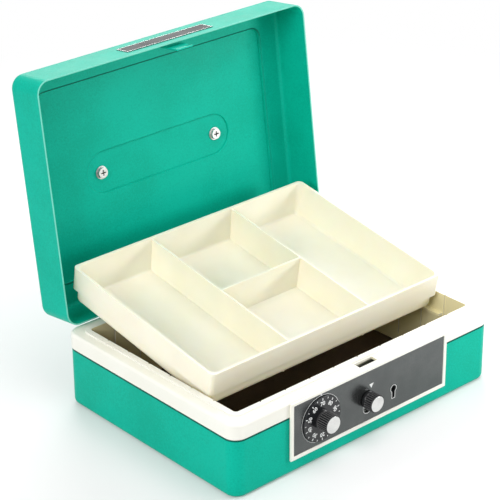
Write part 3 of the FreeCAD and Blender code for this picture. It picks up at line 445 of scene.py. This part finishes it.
def raise_bump(tree, shader, height, depth, strength):
    bump = tree.nodes.new("ShaderNodeBump")
    bump.inputs["Distance"].default_value = depth
    bump.inputs["Strength"].default_value = strength
    tree.links.new(height, bump.inputs["Height"])
    tree.links.new(bump.outputs["Normal"], shader.inputs["Normal"])


def sprayed(mottle, name, light, deep, rough, ripple, depth, specular=0.5, speckle=0.0):
    """A sprayed or moulded surface with uneven tone and a fine ripple."""
    tree, shader, vector = new_material(name)
    coat = place_group(tree, mottle, vector, Tone_Scale=22.0, Ripple_Scale=ripple, Speckle=speckle)
    mix_colours(tree, shader, coat["Tone"], light, deep)
    vary_roughness(tree, shader, coat["Haze"], rough)
    raise_bump(tree, shader, coat["Ripple"], depth, 1.0)
    shader.inputs["Specular IOR Level"].default_value = specular
    return tree, shader, vector


def brushed(brush, name, light, deep, rough, metallic, stretch, depth):
    """A metal or satin surface with fine drawn lines."""
    tree, shader, vector = new_material(name)
    drawn = place_group(tree, brush, vector, Stretch=stretch)
    mix_colours(tree, shader, drawn["Haze"], light, deep)
    vary_roughness(tree, shader, drawn["Lines"], rough)
    raise_bump(tree, shader, drawn["Lines"], depth, 0.6)
    shader.inputs["Metallic"].default_value = metallic


def matted(fibre, name, light, deep):
    """A felt with short fibres and a soft sheen."""
    tree, shader, vector = new_material(name)
    pile = place_group(tree, fibre, vector, Scale=1100.0)
    mix_colours(tree, shader, pile["Tone"], light, deep)
    raise_bump(tree, shader, pile["Pile"], 0.4 * MM, 0.8)
    shader.inputs["Roughness"].default_value = 0.95
    shader.inputs["Sheen Weight"].default_value = 0.05


def paint_bounce_shade(tree, shader, vector, tone):
    """Lay a painted shade, the warm tone of light bounced inside the box, on the walls and ledges inside the
    mouth.
    """
    offset = vector_step(tree, "SUBTRACT", vector, (0.0, 0.0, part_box("rim_liner")[1].z))
    facing = tree.nodes.new("ShaderNodeNewGeometry")
    outward = vector_step(tree, "DOT_PRODUCT", facing.outputs["Normal"], offset)
    overlay(tree, shader, remap(tree, outward, 0.0, MOUTH_FADE), tone)


def paint_rim_shadow(tree, shader, vector, tone):
    """Lay a painted shadow, a dark line along the shell's upper edge, under the rim's overhang."""
    split = tree.nodes.new("ShaderNodeSeparateXYZ")
    tree.links.new(vector, split.inputs["Vector"])
    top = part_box("base_shell")[1].z
    overlay(tree, shader, remap(tree, split.outputs["Z"], top - RIM_SHADOW_BAND[0], top - RIM_SHADOW_BAND[1]), tone)


def lid_lines(tree, shader, vector, field_shadow, lip_highlight):
    """Lay a painted shadow, a dark line, on the pressed edge round the lid's field, and a painted highlight,
    a pale line, along the lid's lip.
    """
    heights = [(LID_SHUT @ vertex.co).z for vertex in NODES["lid_shell"].data.vertices]
    turn = tree.nodes.new("ShaderNodeVectorRotate")
    turn.rotation_type = "X_AXIS"
    turn.inputs["Center"].default_value = LID_LINE
    turn.inputs["Angle"].default_value = LID_LEAN
    tree.links.new(vector, turn.inputs["Vector"])
    shut = turn.outputs["Vector"]
    split = tree.nodes.new("ShaderNodeSeparateXYZ")
    tree.links.new(shut, split.inputs["Vector"])
    panel = max(heights) - FIELD_AND_PAD_RISE
    below = value_step(tree, "LESS_THAN", split.outputs["Z"], panel - FIELD_DROP)
    core = (FIELD_HALF[0] - FIELD_CORNER, FIELD_HALF[1] - FIELD_CORNER, 0.0)
    past = vector_step(tree, "SUBTRACT", vector_step(tree, "ABSOLUTE", shut), core)
    past = vector_step(tree, "MAXIMUM", past, (0.0, 0.0, 0.0))
    past = vector_step(tree, "MULTIPLY", past, (1.0, 1.0, 0.0))
    reach = vector_step(tree, "LENGTH", past)
    middle = FIELD_CORNER + FIELD_EDGE
    away = value_step(tree, "ABSOLUTE", value_step(tree, "SUBTRACT", reach, middle))
    line = remap(tree, away, *FIELD_LINE)
    sides = tree.nodes.new("ShaderNodeSeparateXYZ")
    tree.links.new(past, sides.inputs["Vector"])
    # The painted shadow is full along the field's front and back edges and weaker along its sides
    share = remap(tree, value_step(tree, "DIVIDE", sides.outputs["Y"], reach), 0.0, 1.0, SIDE_SHARE, 1.0)
    strength = value_step(tree, "MULTIPLY", line, share)
    overlay(tree, shader, value_step(tree, "MULTIPLY", strength, below), field_shadow)
    # A painted highlight: a paler tone in a band along the lid's lip
    overlay(tree, shader, value_step(tree, "LESS_THAN", split.outputs["Z"], min(heights) + LIP_BAND), lip_highlight)


def paint_crest_highlights(tree, shader, vector, crest_group, node):
    """Lay a painted highlight, a lighter tone, on the crests of a knob's ridges."""
    crest = half_width(node)
    crest_mask = place_group(tree, crest_group, vector, Centre=middle_of(node), Valley=crest - HIGHLIGHT_DEPTH, Crest=crest)
    overlay(tree, shader, crest_mask["Wear"], CREST_HIGHLIGHT_TONE)


class CASHBOX_OT_finishes(bpy.types.Operator):
    """Build the shared shader groups and every finish"""

    bl_idname = "cashbox.finishes"
    bl_label = "Finishes"

    def execute(self, context):
        enamel = context.scene.cashbox_enamel
        mottle = make_mottle_group()
        brush = make_brush_group()
        crest_group = make_crest_group()
        green = {}
        for name in ("Green Enamel", "Base Enamel", "Lid Enamel"):
            green[name] = sprayed(mottle, name, enamel.green, enamel.green_deep, *ENAMEL, enamel.peel,
                                  specular=0.06, speckle=0.55)
        paint_rim_shadow(*green["Base Enamel"], RIM_SHADOW_TONE)
        lid_lines(*green["Lid Enamel"], FIELD_SHADOW_TONE, LIP_HIGHLIGHT_TONE)
        sprayed(mottle, "Bezel Moulding", enamel.rim, enamel.rim_deep, *MOULDING)
        rim = sprayed(mottle, "Rim Moulding", enamel.rim, enamel.rim_deep, *MOULDING)
        paint_bounce_shade(*rim, enamel.mouth)
        _, tray, _ = sprayed(mottle, "Ivory Moulding", enamel.ivory, enamel.ivory_deep, *MOULDING)
        tray.inputs["Subsurface Weight"].default_value = 0.30
        tray.inputs["Subsurface Radius"].default_value = (1.0, 0.75, 0.40)
        tray.inputs["Subsurface Scale"].default_value = 3 * MM
        for name, node in (("Dial Knob Black", "dial_knob"), ("Push Knob Black", "push_knob")):
            paint_crest_highlights(*sprayed(mottle, name, *KNOB_BLACK), crest_group, node)
        for row in SPRAYED_FINISHES:
            sprayed(mottle, *row)
        brushed(brush, "Charcoal Plate", enamel.charcoal, CHARCOAL_SHADE, (0.20, 0.30), 0.9,
                (2500.0, 60.0, 60.0), 0.002 * MM)
        for row in BRUSHED_FINISHES:
            brushed(brush, *row)
        matted(make_fibre_group(), "Felt", enamel.felt, FELT_SHADE)
        for material in MATERIALS.values():
            arrange(material.node_tree)
        return {"FINISHED"}


# Mesh helpers


def middle_of(node):
    low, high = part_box(node)
    return (low + high) / 2


def half_width(node):
    low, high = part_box(node)
    return (high.x - low.x) / 2


def coat_with(item, material):
    if not item.material_slots:
        item.data.materials.append(None)
    for slot in item.material_slots:
        slot.material = MATERIALS[material]


def smooth_shading():
    """A small modifier tree that shades every face smooth."""
    tree = bpy.data.node_groups.get("Smooth Shading")
    if tree:
        return tree
    tree = bpy.data.node_groups.new("Smooth Shading", "GeometryNodeTree")
    tree.interface.new_socket("Geometry", in_out="INPUT", socket_type="NodeSocketGeometry")
    tree.interface.new_socket("Geometry", in_out="OUTPUT", socket_type="NodeSocketGeometry")
    entry = tree.nodes.new("NodeGroupInput")
    shade = tree.nodes.new("GeometryNodeSetShadeSmooth")
    leave = tree.nodes.new("NodeGroupOutput")
    tree.links.new(entry.outputs[0], shade.inputs["Geometry"])
    tree.links.new(shade.outputs[0], leave.inputs[0])
    arrange(tree)
    return tree


def round_corners(item, width, segments, angle):
    bevel = item.modifiers.new("Softened Corners", "BEVEL")
    bevel.width = width
    bevel.segments = segments
    bevel.limit_method = "ANGLE"
    bevel.angle_limit = math.radians(angle)


def even_normals(item):
    even = item.modifiers.new("Even Normals", "WEIGHTED_NORMAL")
    even.weight = 80


def soften(node, material, width, segments=2, angle=32.0):
    """Give a node its finish and let its corners catch the light."""
    item = NODES[node]
    coat_with(item, material)
    weld = item.modifiers.new("Weld", "WELD")
    weld.merge_threshold = WELD_REACH
    merge = item.modifiers.new("Flats", "DECIMATE")
    merge.decimate_type = "DISSOLVE"
    merge.angle_limit = FLAT_ANGLE
    round_corners(item, width, segments, angle)
    shade = item.modifiers.new("Smooth Shading", "NODES")
    shade.node_group = smooth_shading()
    even_normals(item)


def make_piece(name, bm, body, material, smooth=False):
    """Turn a bmesh into a piece that rides on a body."""
    bmesh.ops.recalc_face_normals(bm, faces=bm.faces)
    mesh = bpy.data.meshes.new(name)
    bm.to_mesh(mesh)
    bm.free()
    for face in mesh.polygons:
        face.use_smooth = smooth
    item = bpy.data.objects.new(name, mesh)
    bpy.context.scene.collection.objects.link(item)
    coat_with(item, material)
    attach(item, body)
    return item


def copy_solid(node):
    """A welded copy of a node's mesh, to be shaped further."""
    bm = bmesh.new()
    bm.from_mesh(NODES[node].data)
    bmesh.ops.remove_doubles(bm, verts=bm.verts, dist=WELD_REACH)
    return bm


def lathe(bm, rings, steps, dips, centre):
    """Skin rings of (depth, radius, ridged) about a line along Y; the dips cut into a ridged ring."""
    rows = []
    for depth, radius, ridged in rings:
        row = []
        for step in range(steps):
            turn = 2 * math.pi * step / steps
            reach = radius - dips[step % len(dips)] if ridged else radius
            x = centre.x + reach * math.cos(turn)
            z = centre.z + reach * math.sin(turn)
            row.append(bm.verts.new((x, depth, z)))
        rows.append(row)
    for lower, upper in zip(rows, rows[1:]):
        for step in range(steps):
            after = (step + 1) % steps
            bm.faces.new((lower[step], lower[after], upper[after], upper[step]))
    bm.faces.new(rows[0])
    bm.faces.new(rows[-1])


def flat_ring(bm, loop_out, loop_in, depth, thick):
    """A thin raised band between two loops of (x, z) points on a face that looks towards -Y."""
    layers = []
    for level in (depth, depth - thick):
        outer = [bm.verts.new((x, level, z)) for x, z in loop_out]
        inner = [bm.verts.new((x, level, z)) for x, z in loop_in]
        layers.append((outer, inner))
    (back_out, back_in), (face_out, face_in) = layers
    count = len(loop_out)
    for step in range(count):
        after = (step + 1) % count
        bm.faces.new((face_out[step], face_out[after], face_in[after], face_in[step]))
        bm.faces.new((back_out[step], back_out[after], face_out[after], face_out[step]))
        bm.faces.new((back_in[step], back_in[after], face_in[after], face_in[step]))
        bm.faces.new((back_out[step], back_out[after], back_in[after], back_in[step]))


def flat_patch(bm, points, depth, thick):
    """A thin raised patch inside one outline of (x, z) points."""
    back = [bm.verts.new((x, depth, z)) for x, z in points]
    face = [bm.verts.new((x, depth - thick, z)) for x, z in points]
    bm.faces.new(face)
    bm.faces.new(back)
    count = len(points)
    for step in range(count):
        after = (step + 1) % count
        bm.faces.new((back[step], back[after], face[after], face[step]))


def pointer(bm, place, half, rise, drop, depth):
    """A printed triangle that points down."""
    x, z = place
    flat_patch(bm, [(x - half, z + rise), (x, z - drop), (x + half, z + rise)], depth, PLATE_PRINT)


def circle_points(centre, radius, count):
    return arc_points(centre, radius, count + 1, 0.0, 2 * math.pi)[:-1]


def arc_points(centre, radius, count, start, sweep):
    """Points along an arc, both ends counted."""
    turns = [start + sweep * step / (count - 1) for step in range(count)]
    return [(centre[0] + radius * math.cos(turn), centre[1] + radius * math.sin(turn)) for turn in turns]


def obround_points(centre, half_length, radius, count=24):
    """A stadium outline that stands upright."""
    top = arc_points((centre[0], centre[1] + half_length), radius, count, 0.0, math.pi)
    foot = arc_points((centre[0], centre[1] - half_length), radius, count, math.pi, math.pi)
    return top + foot


def keyhole_points(centre, grow, count=25):
    """The keyhole's outline, grown evenly by a margin."""
    radius = KEYHOLE_BOW + grow
    half = KEYHOLE_HALF_SLOT + grow
    open_half = math.asin(half / radius)
    arc = arc_points(centre, radius, count, open_half - math.pi / 2, 2 * math.pi - 2 * open_half)
    foot = centre[1] - KEYHOLE_DROP - grow
    return arc + [(centre[0] - half, foot), (centre[0] + half, foot)]


def frame_points(low, high, inset):
    """A rectangle's corners, set in from a box."""
    return [(low.x + inset, low.z + inset), (high.x - inset, low.z + inset),
            (high.x - inset, high.z - inset), (low.x + inset, high.z - inset)]


def figure_mesh(text, height):
    """The outline of a figure as a flat mesh about its own middle."""
    curve = bpy.data.curves.new("figure", "FONT")
    curve.body = text
    curve.size = height * FIGURE_SIZE
    curve.align_x = "CENTER"
    curve.align_y = "CENTER"
    curve.resolution_u = 4
    curve.offset = height * FIGURE_WEIGHT
    item = bpy.data.objects.new("figure", curve)
    bpy.context.scene.collection.objects.link(item)
    bpy.context.view_layer.update()
    mesh = bpy.data.meshes.new_from_object(item)
    bpy.data.objects.remove(item)
    return mesh


def knurled_knob(name, node, cap, body, material, lock, neck_length=0.0):
    """A knob with straight ridges, a chamfer at each end, a seat for its cap and a neck where it has one."""
    low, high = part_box(node)
    radius = half_width(node)
    if neck_length:
        shoulder = high.y - neck_length
        rings = [(high.y, NECK_RADIUS, False), (shoulder + NECK_FLARE, NECK_RADIUS, False),
                 (shoulder, NECK_RADIUS + NECK_FLARE, False)]
        profile = SHOULDER_PROFILE
    else:
        shoulder = high.y
        rings = []
        profile = COLLAR_PROFILE
    rings += [(shoulder + depth * MM, radius + step * MM, False) for depth, step in profile]
    start = rings[-1][0]
    seat = half_width(cap)
    begin, end, inward = FRONT_CHAMFER
    rings += [(start - RIDGE_START[0], radius - RIDGE_RELIEF, False), (start - RIDGE_START[1], radius, True),
              (low.y + begin, radius, True), (low.y + end, radius - inward, True)]
    rings += [(low.y + depth, seat + gap, False) for depth, gap in CAP_SEAT]
    rings.append((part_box(cap)[1].y, seat + CAP_SEAT[-1][1], False))
    dips = (0.0, lock.ridge_depth * 0.5, lock.ridge_depth, lock.ridge_depth * 0.5)
    ridges = round(2 * math.pi * radius / lock.ridge_pitch)
    bm = bmesh.new()
    lathe(bm, rings, len(dips) * ridges, dips, middle_of(node))
    item = make_piece(name, bm, body, material)
    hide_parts(node)
    soften(cap, "Bright Metal", 0.18 * MM, 3)


def lay_felt():
    """A sheet of felt on the floor of the box, a little uneven where it lies."""
    low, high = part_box("floor_mat")
    bm = copy_solid("floor_mat")
    bmesh.ops.dissolve_limit(bm, angle_limit=FLAT_ANGLE, verts=bm.verts, edges=bm.edges)
    for axis, count in enumerate(FELT_CELLS):
        for step in range(1, count):
            place = low.copy()
            place[axis] = low[axis] + (high[axis] - low[axis]) * step / count
            normal = Vector((0, 0, 0))
            normal[axis] = 1
            geometry = bm.verts[:] + bm.edges[:] + bm.faces[:]
            bmesh.ops.bisect_plane(bm, geom=geometry, plane_co=place, plane_no=normal)
    for vertex in bm.verts:
        if vertex.co.z > (low.z + high.z) / 2:
            wave = math.sin(FELT_WAVES[0][0] * vertex.co.x + FELT_WAVES[0][1])
            wave *= math.sin(FELT_WAVES[1][0] * vertex.co.y + FELT_WAVES[1][1])
            vertex.co.z -= FELT_DIP * (1 + wave)
    felt = make_piece("felt_lining", bm, "base", "Felt", smooth=True)
    round_corners(felt, 0.3 * MM, 2, 60.0)
    even_normals(felt)
    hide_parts("floor_mat")


# Pieces


class CASHBOX_OT_sheet_steel(bpy.types.Operator):
    """Enamel the shell and the lid"""

    bl_idname = "cashbox.sheet_steel"
    bl_label = "Sheet Steel"

    def execute(self, context):
        soften("base_shell", "Base Enamel", 0.25 * MM)
        soften("lid_shell", "Lid Enamel", 0.25 * MM)
        return {"FINISHED"}


class CASHBOX_OT_mouldings(bpy.types.Operator):
    """Finish the rim, the bezel, the tray and the floor mat"""

    bl_idname = "cashbox.mouldings"
    bl_label = "Mouldings"

    def execute(self, context):
        soften("rim_liner", "Rim Moulding", 0.25 * MM)
        soften("lock_bezel", "Bezel Moulding", 0.5 * MM, 3)
        soften("coin_tray", "Ivory Moulding", 0.45 * MM, 3)
        lay_felt()
        return {"FINISHED"}


class CASHBOX_OT_lock_plate(bpy.types.Operator):
    """Finish the lock plate and print its outlines, arrow and index"""

    bl_idname = "cashbox.lock_plate"
    bl_label = "Lock Plate"

    def execute(self, context):
        lock = context.scene.cashbox_lock
        soften("lock_plate", "Charcoal Plate", 0.2 * MM)
        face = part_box("lock_plate")[0].y
        bm = bmesh.new()
        dial = middle_of("dial_disc")
        hub = (dial.x, dial.z)
        window = half_width("dial_disc") + WINDOW_GAP
        ring = window + lock.ring_width
        flat_ring(bm, circle_points(hub, ring, WINDOW_STEPS),
                  circle_points(hub, window + RING_GAP, WINDOW_STEPS), face, PLATE_PRINT)
        pointer(bm, (hub[0], hub[1] + ring), INDEX_HALF, INDEX_RISE, INDEX_DROP, face)
        knob = middle_of("push_knob")
        travel = -JOINTS["push_slide"]["range_m"][0]
        slot = (knob.x, knob.z - travel / 2)
        flat_ring(bm, obround_points(slot, travel / 2, lock.outline_half),
                  obround_points(slot, travel / 2, lock.outline_half - lock.ring_width), face, PLATE_PRINT)
        key = Vector(JOINTS["key_turn"]["pos_m"])
        bow = (key.x, key.z + KEYHOLE_UP)
        flat_ring(bm, keyhole_points(bow, KEYHOLE_GAP + lock.ring_width), keyhole_points(bow, KEYHOLE_GAP),
                  face, PLATE_PRINT)
        arrow = (knob.x + ARROW_PLACE[0], knob.z + ARROW_PLACE[1])
        pointer(bm, arrow, ARROW_HALF, ARROW_RISE, ARROW_DROP, face)
        make_piece("plate_marks", bm, "base", "Printed White")
        return {"FINISHED"}


class CASHBOX_OT_dial(bpy.types.Operator):
    """Knurl the dial's knob and print its figures and ticks"""

    bl_idname = "cashbox.dial"
    bl_label = "Dial"

    def execute(self, context):
        lock = context.scene.cashbox_lock
        soften("dial_disc", "Dial Black", 0.15 * MM)
        self.print_ticks()
        self.print_figures(lock)
        knurled_knob("dial_knob_knurled", "dial_knob", "dial_cap", "dial", "Dial Knob Black", lock)
        return {"FINISHED"}

    def print_ticks(self):
        centre = middle_of("dial_disc")
        hub = Vector((centre.x, centre.z))
        out = half_width("dial_disc") - TICK_INSET
        bm = bmesh.new()
        for step in range(TICK_COUNT):
            turn = math.pi / 2 - 2 * math.pi * step / TICK_COUNT
            tall, half = LONG_TICK if step % 2 == 0 else SHORT_TICK
            along = Vector((math.cos(turn), math.sin(turn)))
            side = Vector((-along.y, along.x)) * half
            tip = hub + along * out
            foot = hub + along * (out - tall)
            corners = [tuple(corner) for corner in (tip - side, tip + side, foot + side, foot - side)]
            flat_patch(bm, corners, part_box("dial_disc")[0].y, DIAL_PRINT)
        make_piece("dial_ticks", bm, "dial", "Printed White")

    def print_figures(self, lock):
        centre = middle_of("dial_disc")
        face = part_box("dial_disc")[0].y - DIAL_PRINT
        reach = half_width("dial_disc") - FIGURE_INSET
        bm = bmesh.new()
        for count in range(10):
            turn = 2 * math.pi * (count - lock.shown_ten) / 10
            mesh = figure_mesh(str(10 * count), lock.figure_height)
            stand = Matrix.Translation((centre.x, face, centre.z)) @ Matrix.Rotation(turn, 4, "Y")
            stand = stand @ Matrix.Translation((0, 0, reach)) @ Matrix.Rotation(math.pi / 2, 4, "X")
            mesh.transform(stand)
            bm.from_mesh(mesh)
            bpy.data.meshes.remove(mesh)
        extruded = bmesh.ops.extrude_face_region(bm, geom=list(bm.faces))
        moved = [item for item in extruded["geom"] if isinstance(item, bmesh.types.BMVert)]
        bmesh.ops.translate(bm, verts=moved, vec=(0, DIAL_PRINT * FIGURE_SINK, 0))
        make_piece("dial_figures", bm, "dial", "Printed White")


class CASHBOX_OT_push_knob(bpy.types.Operator):
    """Knurl the push knob, and give its return spring a mesh of its own"""

    bl_idname = "cashbox.push_knob"
    bl_label = "Push Knob"

    def execute(self, context):
        neck_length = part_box("push_knob")[1].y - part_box("lock_plate")[0].y + NECK_OVERLAP
        knurled_knob("push_knob_knurled", "push_knob", "push_cap", "push", "Push Knob Black",
                     context.scene.cashbox_lock, neck_length)
        soften("latch_slide", "Dark Steel", 0.15 * MM)
        coil = make_piece(
            "knob_spring_coil", copy_solid("knob_spring"), "base", "Zinc Steel", smooth=True)
        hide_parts("knob_spring")
        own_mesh(coil)
        return {"FINISHED"}


class CASHBOX_OT_lid_fittings(bpy.types.Operator):
    """Finish the label, striker, screws and hinge leaves of the lid"""

    bl_idname = "cashbox.lid_fittings"
    bl_label = "Lid Fittings"

    def execute(self, context):
        soften("label_plate", "Label Black", 0.1 * MM)
        soften("striker_tongue", "Green Enamel", 0.2 * MM)
        soften("handle_screws", "Zinc Steel", 0.2 * MM, 2, 60.0)
        soften("handle_washers", "Zinc Steel", 0.15 * MM)
        soften("hinge_lid_leaves", "Zinc Steel", 0.15 * MM)
        soften("hinge_lid_rivets", "Zinc Steel", 0.4 * MM, 3, 60.0)
        self.edge_label()
        self.shade_screw_crosses()
        return {"FINISHED"}

    def edge_label(self):
        corners = [LID_SHUT @ vertex.co for vertex in NODES["label_plate"].data.vertices]
        low = Vector([min(corner[axis] for corner in corners) for axis in range(3)])
        high = Vector([max(corner[axis] for corner in corners) for axis in range(3)])
        bm = bmesh.new()
        flat_ring(bm, frame_points(low, high, LABEL_INSET), frame_points(low, high, LABEL_EDGE), low.y,
                  LABEL_RAISED)
        bmesh.ops.transform(bm, matrix=LID_SWING, verts=bm.verts)
        make_piece("label_border", bm, "lid", "Bright Metal")

    # Painted shade: dark steel crosses set into the screw heads' cross recesses
    def shade_screw_crosses(self):
        bm = bmesh.new()
        points = [LID_SHUT @ vertex.co for vertex in NODES["handle_screws"].data.vertices]
        for side in (-1, 1):
            head = [point for point in points if point.x * side > 0]
            x, y = [(min(point[axis] for point in head) + max(point[axis] for point in head)) / 2
                    for axis in (0, 1)]
            foot = min(point.z for point in head)
            for reach in (CROSS_HALF, CROSS_HALF[::-1]):
                bar = bmesh.ops.create_cube(bm, size=1.0)["verts"]
                bmesh.ops.scale(bm, verts=bar, vec=(2 * reach[0], 2 * reach[1], CROSS_DEEP))
                bmesh.ops.translate(bm, verts=bar, vec=(x, y, foot + CROSS_UP))
        bmesh.ops.transform(bm, matrix=LID_SWING, verts=bm.verts)
        make_piece("screw_recess_shade", bm, "lid", "Dark Steel")


class CASHBOX_OT_handle(bpy.types.Operator):
    """Finish the bail handle and its posts"""

    bl_idname = "cashbox.handle"
    bl_label = "Handle"

    def execute(self, context):
        soften("handle_posts", "Black Moulding", 0.8 * MM, 3)
        soften("handle_bail", "Bright Metal", 0.3 * MM)
        soften("handle_grip", "Black Moulding", 0.2 * MM)
        return {"FINISHED"}


class CASHBOX_OT_inner_works(bpy.types.Operator):
    """Finish the lock behind the plate and the hinges on the base"""

    bl_idname = "cashbox.inner_works"
    bl_label = "Inner Works"

    def execute(self, context):
        for node in ("lock_case", "lock_case_screws", "bolt_posts", "hinge_base_leaves", "hinge_base_rivets",
                     "hinge_pins", "dial_spindle", "spindle_clip", "lock_bolt"):
            soften(node, "Zinc Steel", 0.12 * MM)
        for node in ("key_housing", "key_plug", "lock_cam"):
            soften(node, "Dark Steel", 0.12 * MM)
        for node in ("driver_wheel", "combination_disc"):
            soften(node, "Brass Wheel", 0.15 * MM)
        return {"FINISHED"}


# Stage


def seen_rays(tree):
    """One where the camera, a reflection or a see-through piece looks, and zero where light only bounces."""
    rays = tree.nodes.new("ShaderNodeLightPath").outputs
    mirrored = value_step(tree, "MAXIMUM", rays["Is Camera Ray"], rays["Is Glossy Ray"])
    return value_step(tree, "MAXIMUM", mirrored, rays["Is Transmission Ray"])


def make_paper(stage):
    """A pale paper that keeps the shadow near the box and fades to white away from it."""
    material = bpy.data.materials.new("Studio Paper")
    material.use_nodes = True
    tree = material.node_tree
    shader = tree.nodes["Principled BSDF"]
    shader.inputs["Base Color"].default_value = (0.72, 0.72, 0.72, 1)
    shader.inputs["Roughness"].default_value = 0.9
    shader.inputs["Specular IOR Level"].default_value = 0.0
    seen = seen_rays(tree)
    glow = tree.nodes.new("ShaderNodeEmission")
    tree.links.new(value_step(tree, "MULTIPLY", seen, stage.paper_glow), glow.inputs["Strength"])
    lifted = tree.nodes.new("ShaderNodeAddShader")
    tree.links.new(shader.outputs["BSDF"], lifted.inputs[0])
    tree.links.new(glow.outputs["Emission"], lifted.inputs[1])
    coords = tree.nodes.new("ShaderNodeTexCoord")
    away = vector_step(tree, "LENGTH", coords.outputs["Object"])
    fade = remap(tree, away, stage.shadow_reach, 2 * stage.shadow_reach)
    fade.node.interpolation_type = "SMOOTHSTEP"
    white = tree.nodes.new("ShaderNodeEmission")
    paper = tree.nodes.new("ShaderNodeMixShader")
    tree.links.new(value_step(tree, "MULTIPLY", fade, seen), paper.inputs[0])
    tree.links.new(lifted.outputs["Shader"], paper.inputs[1])
    tree.links.new(white.outputs["Emission"], paper.inputs[2])
    tree.links.new(paper.outputs["Shader"], tree.nodes["Material Output"].inputs["Surface"])
    arrange(tree)
    return material


class CASHBOX_OT_stage(bpy.types.Operator):
    """Set the floor, lamps, sky and camera"""

    bl_idname = "cashbox.stage"
    bl_label = "Stage"

    def execute(self, context):
        scene = context.scene
        stage = scene.cashbox_stage
        scene.view_settings.view_transform = "Standard"
        self.lay_floor(scene, stage)
        self.light_sky(scene, stage)
        self.hang_lamps(scene, stage)
        self.set_camera(scene, stage)
        return {"FINISHED"}

    def lay_floor(self, scene, stage):
        half = stage.floor_half
        bm = bmesh.new()
        corners = ((-half, -half), (half, -half), (half, half), (-half, half))
        bm.faces.new([bm.verts.new((x, y, FLOOR_LEVEL)) for x, y in corners])
        mesh = bpy.data.meshes.new("studio_floor")
        bm.to_mesh(mesh)
        bm.free()
        mesh.materials.append(make_paper(stage))
        floor = bpy.data.objects.new("studio_floor", mesh)
        scene.collection.objects.link(floor)

    def light_sky(self, scene, stage):
        scene.world = bpy.data.worlds.new("Studio Sky")
        scene.world.use_nodes = True
        tree = scene.world.node_tree
        back = tree.nodes["Background"]
        back.inputs["Color"].default_value = (1, 1, 1, 1)
        tree.links.new(remap(tree, seen_rays(tree), 0.0, 1.0, stage.sky, 1.0), back.inputs["Strength"])
        arrange(tree)

    def hang_lamps(self, scene, stage):
        # Lamps as (name, place, size, power)
        lamps = (("overhead_lamp", (0.15, -0.25, 1.3), 0.9, stage.key_power),
                 ("right_lamp", (0.50, -0.48, 0.24), 0.22, stage.side_power),
                 ("back_lamp", (0.75, 1.05, 0.95), 0.9, stage.back_power),
                 ("left_lamp", (-1.25, -0.35, 0.75), 0.6, stage.fill_power))
        for name, place, size, energy in lamps:
            lamp = bpy.data.lights.new(name, "AREA")
            lamp.energy = energy
            lamp.size = size
            item = bpy.data.objects.new(name, lamp)
            item.location = place
            item.rotation_euler = (LAMP_AIM - Vector(place)).to_track_quat("-Z", "Y").to_euler()
            scene.collection.objects.link(item)

    def set_camera(self, scene, stage):
        lens = bpy.data.cameras.new("studio_camera")
        lens.sensor_fit = "HORIZONTAL"
        lens.sensor_width = 36.0
        lens.lens = stage.lens
        camera = bpy.data.objects.new("studio_camera", lens)
        camera.location = stage.eye
        camera.rotation_euler = stage.aim
        scene.collection.objects.link(camera)
        scene.camera = camera


class CASHBOX_PT_dressing(bpy.types.Panel):
    """Lists the settings and the steps"""

    bl_idname = "CASHBOX_PT_dressing"
    bl_label = "Cash Box Dressing"
    bl_space_type = "VIEW_3D"
    bl_region_type = "UI"
    bl_category = "Cash Box"

    def draw(self, context):
        scene = context.scene
        for settings in (scene.cashbox_enamel, scene.cashbox_lock, scene.cashbox_stage):
            column = self.layout.column(align=True)
            for label in settings.__annotations__:
                column.prop(settings, label)
        for step in STEPS:
            self.layout.operator(step.bl_idname)


STEPS = (
    CASHBOX_OT_finishes, CASHBOX_OT_sheet_steel, CASHBOX_OT_mouldings, CASHBOX_OT_lock_plate,
    CASHBOX_OT_dial, CASHBOX_OT_push_knob, CASHBOX_OT_lid_fittings, CASHBOX_OT_handle,
    CASHBOX_OT_inner_works, CASHBOX_OT_stage,
)
CLASSES = (EnamelSettings, LockSettings, StageSettings) + STEPS + (CASHBOX_PT_dressing,)


def register():
    for item in CLASSES:
        bpy.utils.register_class(item)
    bpy.types.Scene.cashbox_enamel = bpy.props.PointerProperty(type=EnamelSettings)
    bpy.types.Scene.cashbox_lock = bpy.props.PointerProperty(type=LockSettings)
    bpy.types.Scene.cashbox_stage = bpy.props.PointerProperty(type=StageSettings)


def unregister():
    del bpy.types.Scene.cashbox_stage
    del bpy.types.Scene.cashbox_lock
    del bpy.types.Scene.cashbox_enamel
    for item in reversed(CLASSES):
        bpy.utils.unregister_class(item)


def main():
    register()
    bpy.ops.cashbox.finishes()
    bpy.ops.cashbox.sheet_steel()
    bpy.ops.cashbox.mouldings()
    bpy.ops.cashbox.lock_plate()
    bpy.ops.cashbox.dial()
    bpy.ops.cashbox.push_knob()
    bpy.ops.cashbox.lid_fittings()
    bpy.ops.cashbox.handle()
    bpy.ops.cashbox.inner_works()
    bpy.ops.cashbox.stage()


if __name__ == "__main__":
    main()
